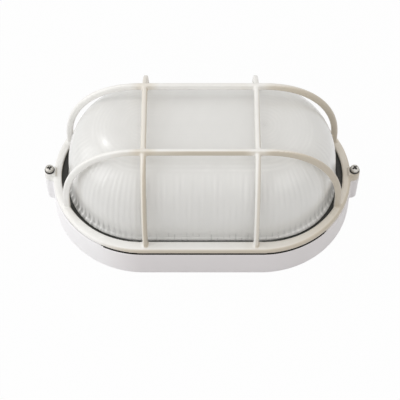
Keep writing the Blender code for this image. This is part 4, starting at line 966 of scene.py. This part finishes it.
def make_grommet(material):
    """The rubber grommet in the cable hole."""
    section = rounded([
        (GROMMET_BORE, 0.3 * MM, 0.4 * MM), (CABLE_RADIUS + 2.0 * MM, 0.3 * MM, 0.3 * MM),
        (CABLE_RADIUS + 2.0 * MM, 1.7 * MM, 0.3 * MM), (CABLE_RADIUS - 0.3 * MM, 1.7 * MM, 0.2 * MM),
        (CABLE_RADIUS - 0.3 * MM, 3.3 * MM, 0.2 * MM), (CABLE_RADIUS + 2.0 * MM, 3.3 * MM, 0.3 * MM),
        (CABLE_RADIUS + 1.0 * MM, 4.7 * MM, 0.4 * MM), (GROMMET_BORE, 4.7 * MM, 0.5 * MM)], 3)
    mesh = turned_mesh("grommet", [tuple(point) for point in section], 64,
                       Matrix.Translation((CABLE_X, 0.0, 0.0)), closed=True)
    return add_piece("entry_grommet", mesh, material, "rubber", "cable_grommet")


def make_lamp(glass, cap):
    """The frosted lamp on its screw cap, lying along the light."""
    tip = ((0.5, 0.0), (3.4, 0.0), (4.6, 0.8), (4.8, 2.0), (8.0, 3.2), (12.0, 4.4))
    rows = [(radius * MM, x * MM) for radius, x in tip]
    for step in range(43):
        rows.append((CAP_RADIUS + CAP_THREAD * math.sin(2 * math.pi * step / 7), (5.0 + step * 0.5) * MM))
    limit = LAMP_TIP_X + CAP_END
    rows += [(CAP_RADIUS + 0.25 * MM, CAP_END), (COLLAR_RADIUS, COLLAR_TOP)]
    neck = (BULB_RADIUS * math.sin(BULB_JOIN), BULB_CENTRE + BULB_RADIUS * math.cos(BULB_JOIN))
    for step in range(1, 12):
        t = step / 12
        ease = t * t * (3 - 2 * t)
        rows.append((COLLAR_RADIUS + (neck[0] - COLLAR_RADIUS) * ease,
                     COLLAR_TOP + (neck[1] - COLLAR_TOP) * t))
    for step in range(29):
        angle = BULB_JOIN * (1 - step / 28.15)
        rows.append((BULB_RADIUS * math.sin(angle), BULB_CENTRE + BULB_RADIUS * math.cos(angle)))
    matrix = Matrix.Translation((LAMP_TIP_X, 0.0, LAMP_AXIS_Z)) @ Matrix.Rotation(math.pi / 2, 4, "Y")
    mesh = turned_mesh("lamp", rows, 64, matrix)
    piece = add_piece("screw_lamp", mesh, glass, "lamp", "lamp")
    mesh.materials.append(cap)
    for face in mesh.polygons:
        if face.center.x < limit:
            face.material_index = 1
    return piece


def make_grain_group():
    """Fine grain and broad mottling, both from noise in the object's own space."""
    tree = bpy.data.node_groups.new("grain_and_mottle", "ShaderNodeTree")
    face = tree.interface
    for label, value in (("Fine Scale", 900.0), ("Broad Scale", 60.0), ("Stretch", 1.0)):
        face.new_socket(label, in_out="INPUT", socket_type="NodeSocketFloat").default_value = value
    for label in ("Grain", "Mottle", "Specks"):
        face.new_socket(label, in_out="OUTPUT", socket_type="NodeSocketFloat")
    given = tree.nodes.new("NodeGroupInput").outputs
    result = tree.nodes.new("NodeGroupOutput").inputs
    place = add_node(tree, "ShaderNodeTexCoord").outputs["Object"]
    drawn = add_node(tree, "ShaderNodeVectorMath", {
        0: place, 1: vector(tree, given["Stretch"], 1.0, 1.0)}, operation="MULTIPLY").outputs[0]
    fine = add_node(tree, "ShaderNodeTexNoise",
                    {"Vector": drawn, "Scale": given["Fine Scale"], "Detail": 3.0})
    broad = add_node(tree, "ShaderNodeTexNoise",
                     {"Vector": drawn, "Scale": given["Broad Scale"], "Detail": 4.0, "Roughness": 0.6})
    dots = add_node(tree, "ShaderNodeTexVoronoi", {"Vector": place, "Scale": 420.0})
    specks = spread(tree, dots.outputs["Distance"], 1.0, 0.0, 0.04, 0.12)
    rare = spread(tree, add_node(tree, "ShaderNodeSeparateColor",
                                 {0: dots.outputs["Color"]}).outputs[0], 0.0, 1.0, 0.9, 0.93)
    tree.links.new(fine.outputs[0], result["Grain"])
    tree.links.new(spread(tree, broad.outputs[0], 0.0, 1.0, 0.3, 0.7), result["Mottle"])
    tree.links.new(times(tree, specks, rare), result["Specks"])
    return tree


def start_material(name, slot_colour):
    """A material with its Principled shader, ready to take its nodes."""
    material = bpy.data.materials.new(name)
    material.use_nodes = True
    material.diffuse_color = (*slot_colour[:3], 1.0)
    return material, material.node_tree, material.node_tree.nodes["Principled BSDF"]


def place_grain(tree, grain, scales, stretch=1.0):
    """The outputs of the grain group, placed in a material with its own fine and broad scale."""
    node = tree.nodes.new("ShaderNodeGroup")
    node.node_tree = grain
    for label, value in zip(("Fine Scale", "Broad Scale", "Stretch"), (*scales, stretch)):
        node.inputs[label].default_value = value
    return node.outputs


def bumped(tree, shader, height, strength, distance):
    """Feed a height into the shader's normal."""
    bump = add_node(tree, "ShaderNodeBump",
                    {"Height": height, "Strength": strength, "Distance": distance})
    tree.links.new(bump.outputs[0], shader.inputs["Normal"])


def shaded(colour, share):
    """A colour made darker."""
    return tuple(part * share for part in colour[:3])


def grained_material(name, grain, colour, rough, scales, shade=0.9, warm=1.0, metallic=0.0, bump=0.15,
                     stretch=1.0, coat=0.0, aged=None):
    """A finish with mottled colour and roughness, fine grain and a few specks.

    With a shade tone, the finish turns to it as painted shade towards the right end and on faces turned
    that way.
    """
    material, tree, shader = start_material(name, colour)
    out = place_grain(tree, grain, scales, stretch)
    darker = (colour[0] * shade * warm, colour[1] * shade, colour[2] * shade / warm)
    mixed = blend_colours(tree, out["Mottle"], darker, colour)
    # Painted shade: towards the shade tone at the right end, and darker still on faces that turn near and
    # right
    if aged:
        share, side = painted_shade_masks(tree, out["Mottle"])
        mixed = blend_colours(tree, share, mixed, aged)
        mixed = blend_colours(tree, side, mixed, shaded(aged, SIDE_SHADE))
    spotted = blend_colours(tree, times(tree, out["Specks"], SPECK_STRENGTH), mixed,
                            shaded(colour, SPECK_SHADE))
    tree.links.new(spotted, shader.inputs["Base Color"])
    tree.links.new(spread(tree, out["Mottle"], *rough), shader.inputs["Roughness"])
    shader.inputs["Metallic"].default_value = metallic
    shader.inputs["Coat Weight"].default_value = coat
    shader.inputs["Coat Roughness"].default_value = 0.2
    bumped(tree, shader, out["Grain"], bump, GRAIN_RELIEF)
    return material


def painted_shade_masks(tree, mottle):
    """How much painted shade the paint takes, most towards +X, and the darker painted shade on faces that
    turn near and right.

    Of the two cross bars, the one at the right takes less painted shade and stays whiter, and the one at
    the left takes more of the shade tone.
    """
    across, up, height = axes(tree, add_node(tree, "ShaderNodeTexCoord").outputs["Object"])
    facing = add_node(tree, "ShaderNodeNewGeometry").outputs["Normal"]
    sideways = add_node(tree, "ShaderNodeVectorMath", {0: facing, 1: (0.75, -0.66, 0.0)},
                        operation="DOT_PRODUCT").outputs["Value"]
    corner = maths(tree, "SUBTRACT", times(tree, across, 0.6), up)
    side = times(tree, spread(tree, sideways, 0.0, 1.0, 0.2, 0.65),
                 spread(tree, corner, 0.0, 1.0, -10.0 * MM, 25.0 * MM))
    side = maths(tree, "MAXIMUM", side, spread(tree, axes(tree, facing)[0], 0.0, 0.4, 0.52, 0.9))
    below = spread(tree, height, BAR_REACH[1], 0.0, RING_TOP, RING_TOP + 2.0 * MM)
    whiter, creamier = (
        plus(tree, below, maths(tree, "ABSOLUTE", maths(tree, "SUBTRACT", across, middle)))
        for middle in (CROSS_BAR_SHIFT + CROSS_BAR_X, CROSS_BAR_SHIFT - CROSS_BAR_X))
    side = times(tree, side, spread(tree, whiter, 0.4, 1.0, *BAR_REACH))
    share = times(tree, spread(tree, across, *RIGHTWARD_SHADE), spread(tree, whiter, 0.2, 1.0, *BAR_REACH))
    share = plus(tree, share, spread(tree, creamier, 0.5, 0.0, *BAR_REACH), side)
    return times(tree, share, spread(tree, mottle, 0.8, 1.1), use_clamp=True), side


def glass_material(grain, colour):
    """Pressed glass that lets soft light through, with painted light and shade: lines for its inner flutes
    and ribs, darker lower down, and the gasket seen dark through it.
    """
    material, tree, shader = start_material("pressed_glass", colour)
    out = place_grain(tree, grain, (200.0, 30.0), 2.2)
    ridge, shown, rib, around = (
        add_node(tree, "ShaderNodeAttribute", attribute_name=name).outputs["Fac"]
        for name in ("ridge", "shown", "rib", "around"))
    x, y, z = axes(tree, add_node(tree, "ShaderNodeTexCoord").outputs["Object"])
    wall = vector(tree, times(tree, around, 80.0), times(tree, z, 50.0))
    uneven = add_node(tree, "ShaderNodeTexNoise", {"Vector": wall, "Scale": 1.0, "Detail": 1.0}).outputs[0]
    clear = plus(tree, spread(tree, uneven, 0.0, 1.2, 0.38, 0.64),
                 spread(tree, x, 0.6, 0.0, -55.0 * MM, -25.0 * MM))
    clear = times(tree, spread(tree, y, 1.0, 0.15, -25.0 * MM, 0.0), clear)
    flutes = times(tree, ridge, clear)
    even = times(tree, maths(tree, "SUBTRACT", 1.0, times(tree, shown, clear)), 0.5)
    ribs_clear = maths(tree, "MAXIMUM", spread(tree, y, 1.0, 0.0, -32.0 * MM, -22.0 * MM),
                       spread(tree, maths(tree, "ABSOLUTE", x), 0.2, 1.0, 30.0 * MM, 45.0 * MM))
    ribs = times(tree, rib, ribs_clear, spread(tree, out["Mottle"], 0.7, 0.0))
    # Painted refraction light and shade: lighter on the flute ridges and crown ribs, darker between them
    hollow = shaded(colour, HOLLOW_SHADE)
    lined = blend_colours(tree, plus(tree, flutes, even, ribs), hollow, colour)
    # Painted shade, darker lower down the glass, with a random cloudy tone from the mottle
    dull = plus(tree, spread(tree, z, 0.5, 0.0, 48.0 * MM, 83.0 * MM),
                spread(tree, out["Mottle"], 0.15, 0.45))
    glass_with_shade = blend_colours(tree, dull, lined, hollow)
    # Near the foot the painted lines and shade give way to the plain colour
    pale = spread(tree, z, 0.9, 0.0, GASKET_TOP + 2.0 * MM, GASKET_TOP + 12.0 * MM)
    glass_with_shade = blend_colours(tree, pale, glass_with_shade, colour)
    # The gasket painted dark as seen through the glass
    with_painted_gasket = blend_colours(tree, painted_gasket_mask(tree, x, z, ridge, out["Grain"]), glass_with_shade,
                           shaded(colour, RUBBER_SHADE))
    tree.links.new(with_painted_gasket, shader.inputs["Base Color"])
    tree.links.new(spread(tree, out["Mottle"], 0.3, 0.4), shader.inputs["Roughness"])
    for label, value in (("Transmission Weight", 0.15), ("IOR", 1.5), ("Coat Weight", 0.7),
                         ("Coat Roughness", 0.2)):
        shader.inputs[label].default_value = value
    relief = plus(tree, times(tree, out["Grain"], 0.1), flutes, times(tree, ribs, 0.8))
    bumped(tree, shader, relief, 0.6, GLASS_RELIEF)
    return material


def painted_gasket_mask(tree, x, z, ridge, grain):
    """Where the gasket is painted dark as seen through the glass: wedges between the flutes, short at the
    sides.
    """
    height = maths(tree, "SUBTRACT", z, GASKET_TOP)
    near_end = maths(tree, "MAXIMUM", spread(tree, x, 1.0, 0.0, -80.0 * MM, -45.0 * MM),
                     spread(tree, x, 0.0, 0.6, 45.0 * MM, 80.0 * MM))
    level = spread(tree, height, 1.15, 0.0, 1.0 * MM, 13.0 * MM)
    wedge = times(tree, maths(tree, "SUBTRACT", level, ridge), 1.6, use_clamp=True)
    wedge = times(tree, wedge, near_end, spread(tree, grain, 0.45, 1.0, 0.35, 0.6))
    dash = times(tree, spread(tree, ridge, 1.0, 0.0, 0.0, 0.35),
                 spread(tree, height, 1.0, 0.0, 5.0 * MM, 9.0 * MM),
                 spread(tree, grain, 0.0, 0.4, 0.48, 0.58))
    return maths(tree, "MAXIMUM", wedge, dash)


def floor_material():
    """The floor: plain and pale, white to the camera and in reflections, with the light's own shadow."""
    material, tree, shader = start_material("pale_floor", FLOOR_COLOUR)
    shader.inputs["Base Color"].default_value = (*FLOOR_COLOUR, 1.0)
    shader.inputs["Roughness"].default_value = 0.8
    show_white(tree, shader, "ShaderNodeEmission", 0.97, tree.nodes["Material Output"])
    return material


def show_white(tree, lit, kind, share, output):
    """Let the camera, reflections and glass see plain white in place of what lights the scene."""
    path = add_node(tree, "ShaderNodeLightPath")
    seen = maths(tree, "MAXIMUM", path.outputs["Is Camera Ray"], path.outputs["Is Glossy Ray"])
    seen = maths(tree, "MAXIMUM", seen, path.outputs["Is Transmission Ray"])
    white = add_node(tree, kind, {"Color": (1.0, 1.0, 1.0, 1.0), "Strength": 1.0})
    mixed = add_node(tree, "ShaderNodeMixShader", {
        0: times(tree, seen, share), 1: lit.outputs[0], 2: white.outputs[0]})
    tree.links.new(mixed.outputs[0], output.inputs[0])


def size_property(name, millimetres, description):
    """A length that a user may change."""
    return bpy.props.FloatProperty(name=name, description=description, default=millimetres * MM,
                                   unit="LENGTH")


def colour_property(name, colour, description):
    """A colour that a user may change."""
    return bpy.props.FloatVectorProperty(name=name, description=description, subtype="COLOR",
                                         default=colour)


class BulkheadSizes(bpy.types.PropertyGroup):
    """Sizes of the light that a user may change."""
    body_length: size_property("Body Length", 210.0, "Length of the base between its round ends")
    body_width: size_property("Body Width", 129.0, "Width of the base")
    total_depth: size_property("Total Depth", 96.0, "From the wall to the outer face of the bars")
    bar_depth: size_property("Bar Depth", 4.6, "Depth of a guard bar")
    bar_top: size_property("Bar Top", 2.6, "Width of a bar's outer face")
    bar_root: size_property("Bar Root", 4.2, "Width of a bar's inner face")
    cast_detail: size_property("Casting Detail", 0.62, "Finest detail of the guard's casting")
    flute_pitch: size_property("Flute Pitch", 4.0, "Spacing of the flutes in the glass wall")
    flute_depth: size_property("Flute Depth", 0.9, "Depth of the flutes")
    flute_top: bpy.props.FloatProperty(
        name="Flute Top", description="Share of the glass's height at which the flutes end",
        default=0.74, subtype="FACTOR")
    rib_pitch: size_property("Rib Pitch", 2.75, "Spacing of the rings in the crown")
    rib_depth: size_property("Rib Depth", 0.55, "Depth of the rings in the crown")


class BulkheadFinish(bpy.types.PropertyGroup):
    """Colours of the light that a user may change."""
    base_paint: colour_property("Base Paint", (0.91, 0.90, 0.915), "Colour of the base casting")
    guard_paint: colour_property("Guard Paint", (0.88, 0.875, 0.855), "Colour of the guard")
    # The warm tone painted as shade on the guard towards its right end and on faces that turn near and
    # right
    aged_paint: colour_property("Aged Paint", (0.70, 0.625, 0.51), "Colour that the guard's paint turns to")
    glass: colour_property("Glass", (0.95, 0.945, 0.925), "Tint of the glass")
    rubber: colour_property("Rubber", (0.045, 0.045, 0.04), "Colour of the gasket and the grommet")


# Each finish: its colour, or that colour's name in the panel; its least and greatest roughness; the
# fine and broad scale of its grain; and how else it differs
FINISHES = {
    # Base and guard turn towards their shade tone as painted shade towards the right end and on near- and
    # right-facing faces
    "sprayed_base": ("base_paint", (0.38, 0.5), (900.0, 60.0),
                     {"shade": 0.95, "aged": (0.95, 0.915, 0.93)}),
    "sprayed_guard": ("guard_paint", (0.34, 0.46), (900.0, 60.0),
                      {"warm": 1.01, "shade": 0.95, "coat": 0.35, "aged": "aged_paint"}),
    "gasket_rubber": ("rubber", (0.55, 0.75), (1400.0, 90.0), {"shade": 0.7, "bump": 0.3}),
    "zinc_steel": ((0.56, 0.54, 0.5), (0.32, 0.45), (2200.0, 160.0), {"shade": 0.85, "metallic": 0.85}),
    # Near-black steel for the washers: painted shade beneath the screw heads
    "dull_steel": ((0.07, 0.065, 0.06), (0.5, 0.65), (2200.0, 160.0), {"metallic": 0.6}),
    # Near-black for the inside of the seam and for the screw recesses: painted shade
    "dark_grime": ((0.02, 0.018, 0.015), (0.7, 0.9), (2200.0, 300.0), {}),
    "zinc_sheet": ((0.55, 0.56, 0.57), (0.3, 0.45), (1600.0, 120.0),
                   {"shade": 0.8, "metallic": 0.85, "stretch": 0.2}),
    "fired_ceramic": ((0.83, 0.82, 0.79), (0.2, 0.3), (500.0, 40.0), {"shade": 0.94}),
    "bright_brass": ((0.70, 0.52, 0.25), (0.24, 0.38), (1800.0, 140.0), {"shade": 0.8, "metallic": 0.95}),
    "frosted_lamp": ((0.90, 0.90, 0.88), (0.4, 0.5), (1500.0, 30.0), {"shade": 0.97}),
    "moulded_nylon": ((0.82, 0.82, 0.80), (0.45, 0.55), (1200.0, 60.0), {}),
    "brown_insulation": ((0.16, 0.07, 0.035), (0.45, 0.55), (1200.0, 80.0), {}),
    "blue_insulation": ((0.03, 0.10, 0.33), (0.45, 0.55), (1200.0, 80.0), {}),
}


def finished_material(name):
    """A material that an earlier operator made, or the one made now from the colours in the panel."""
    known = bpy.data.materials.get(name)
    if known:
        return known
    grain = bpy.data.node_groups.get("grain_and_mottle") or make_grain_group()
    if name == "pressed_glass":
        return glass_material(grain, panel_colour("glass"))
    colour, rough, scales, others = FINISHES[name]
    if "aged" in others:
        others = {**others, "aged": panel_colour(others["aged"])}
    return grained_material(name, grain, panel_colour(colour), rough, scales, **others)


def panel_colour(colour):
    """A colour as it is, or the one that has this name in the panel."""
    if isinstance(colour, str):
        return tuple(getattr(bpy.context.scene.bulkhead_finish, colour))
    return colour


CAD_FINISHES = {
    "lamp_bracket": "zinc_sheet",
    "lampholder_body": "fired_ceramic",
    "lampholder_shell": "bright_brass",
    "lampholder_contact": "bright_brass",
    "terminal_block": "moulded_nylon",
    "terminal_tube": "bright_brass",
    "wire_live": "brown_insulation",
    "wire_neutral": "blue_insulation",
    "earth": "zinc_steel",
    "bracket_screw": "zinc_steel",
    "lampholder_screw": "zinc_steel",
    "terminal_fixing_screw": "zinc_steel",
    "terminal_screw": "zinc_steel",
}


class BULKHEAD_OT_base(bpy.types.Operator):
    """Build the cast base and the grommet in its cable hole"""
    bl_idname = "bulkhead.base"
    bl_label = "Base"

    def execute(self, context):
        make_base(context.scene.bulkhead_sizes, finished_material("sprayed_base"),
                  finished_material("dark_grime"))
        make_grommet(finished_material("gasket_rubber"))
        return {"FINISHED"}


class BULKHEAD_OT_guard(bpy.types.Operator):
    """Build the cast guard"""
    bl_idname = "bulkhead.guard"
    bl_label = "Guard"

    def execute(self, context):
        make_guard(context.scene.bulkhead_sizes, finished_material("sprayed_guard"),
                   finished_material("dark_grime"))
        return {"FINISHED"}


class BULKHEAD_OT_glass(bpy.types.Operator):
    """Build the ribbed glass and its gasket"""
    bl_idname = "bulkhead.glass"
    bl_label = "Glass and Gasket"

    def execute(self, context):
        make_glass(context.scene.bulkhead_sizes, finished_material("pressed_glass"))
        make_gasket(context.scene.bulkhead_sizes, finished_material("gasket_rubber"))
        return {"FINISHED"}


class BULKHEAD_OT_fasteners(bpy.types.Operator):
    """Build the guard's screws and washers"""
    bl_idname = "bulkhead.fasteners"
    bl_label = "Screws and Washers"

    def execute(self, context):
        make_fasteners(finished_material("zinc_steel"), finished_material("dull_steel"),
                       finished_material("dark_grime"))
        return {"FINISHED"}


class BULKHEAD_OT_inside(bpy.types.Operator):
    """Build the lamp and finish the lampholder, bracket, terminals and wires"""
    bl_idname = "bulkhead.inside"
    bl_label = "Lamp and Inner Parts"

    def execute(self, context):
        make_lamp(finished_material("frosted_lamp"), finished_material("bright_brass"))
        for name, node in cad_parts.items():
            keys = [key for key in CAD_FINISHES if name.startswith(key)]
            if keys:
                node.data.materials.clear()
                node.data.materials.append(finished_material(CAD_FINISHES[max(keys, key=len)]))
        return {"FINISHED"}


class BULKHEAD_OT_stage(bpy.types.Operator):
    """Set up the floor, the lamps and the camera"""
    bl_idname = "bulkhead.stage"
    bl_label = "Stage"

    def execute(self, context):
        scene = context.scene
        mesh = bpy.data.meshes.new("floor")
        mesh.from_pydata([(FLOOR_REACH * x, FLOOR_REACH * y, 0.0)
                          for x, y in ((-1, -1), (1, -1), (1, 1), (-1, 1))], [], [(0, 1, 2, 3)])
        mesh.materials.append(floor_material())
        floor = show("floor", mesh)
        world = scene.world or bpy.data.worlds.new("studio")
        scene.world = world
        world.use_nodes = True
        sky = world.node_tree.nodes["Background"]
        sky.inputs["Color"].default_value = SKY_COLOUR
        sky.inputs["Strength"].default_value = SKY_STRENGTH
        show_white(world.node_tree, sky, "ShaderNodeBackground", 1.0,
                   world.node_tree.nodes["World Output"])
        for lamp in LAMPS:
            add_lamp(*lamp)
        camera = bpy.data.cameras.new("camera")
        camera.lens = CAMERA_LENS
        camera.sensor_width = 36.0
        camera.clip_start = 0.01
        view = show("camera", camera)
        view.location = CAMERA_PLACE
        view.rotation_euler = (CAMERA_TILT, 0.0, 0.0)
        scene.camera = view
        scene.view_settings.view_transform = "Standard"
        return {"FINISHED"}


def add_lamp(name, place, power, size, colour):
    """A square soft lamp that shines at the light."""
    lamp = bpy.data.lights.new(name, "AREA")
    lamp.energy = power
    lamp.size = size
    lamp.color = colour
    obj = show(name, lamp)
    obj.location = place
    obj.rotation_euler = (-Vector(place)).to_track_quat("-Z", "Y").to_euler()


STEPS = (BULKHEAD_OT_base, BULKHEAD_OT_guard, BULKHEAD_OT_glass, BULKHEAD_OT_fasteners,
         BULKHEAD_OT_inside, BULKHEAD_OT_stage)


class VIEW3D_PT_bulkhead(bpy.types.Panel):
    """Sizes, colours and building steps of the bulkhead light"""
    bl_label = "Bulkhead Light"
    bl_idname = "VIEW3D_PT_bulkhead"
    bl_space_type = "VIEW_3D"
    bl_region_type = "UI"
    bl_category = "Bulkhead Light"

    def draw(self, context):
        for group in (context.scene.bulkhead_sizes, context.scene.bulkhead_finish):
            for name in group.bl_rna.properties.keys():
                if name not in ("rna_type", "name"):
                    self.layout.prop(group, name)
        for step in STEPS:
            self.layout.operator(step.bl_idname)


CLASSES = (BulkheadSizes, BulkheadFinish) + STEPS + (VIEW3D_PT_bulkhead,)


def register():
    """Add the classes and the scene's settings to Blender."""
    for cls in CLASSES:
        bpy.utils.register_class(cls)
    bpy.types.Scene.bulkhead_sizes = bpy.props.PointerProperty(type=BulkheadSizes)
    bpy.types.Scene.bulkhead_finish = bpy.props.PointerProperty(type=BulkheadFinish)


def unregister():
    """Take the classes and the scene's settings out of Blender again."""
    del bpy.types.Scene.bulkhead_finish
    del bpy.types.Scene.bulkhead_sizes
    for cls in reversed(CLASSES):
        bpy.utils.unregister_class(cls)


def main():
    """Build every piece in order."""
    register()
    bpy.ops.bulkhead.base()
    bpy.ops.bulkhead.guard()
    bpy.ops.bulkhead.glass()
    bpy.ops.bulkhead.fasteners()
    bpy.ops.bulkhead.inside()
    bpy.ops.bulkhead.stage()


if __name__ == "__main__":
    main()
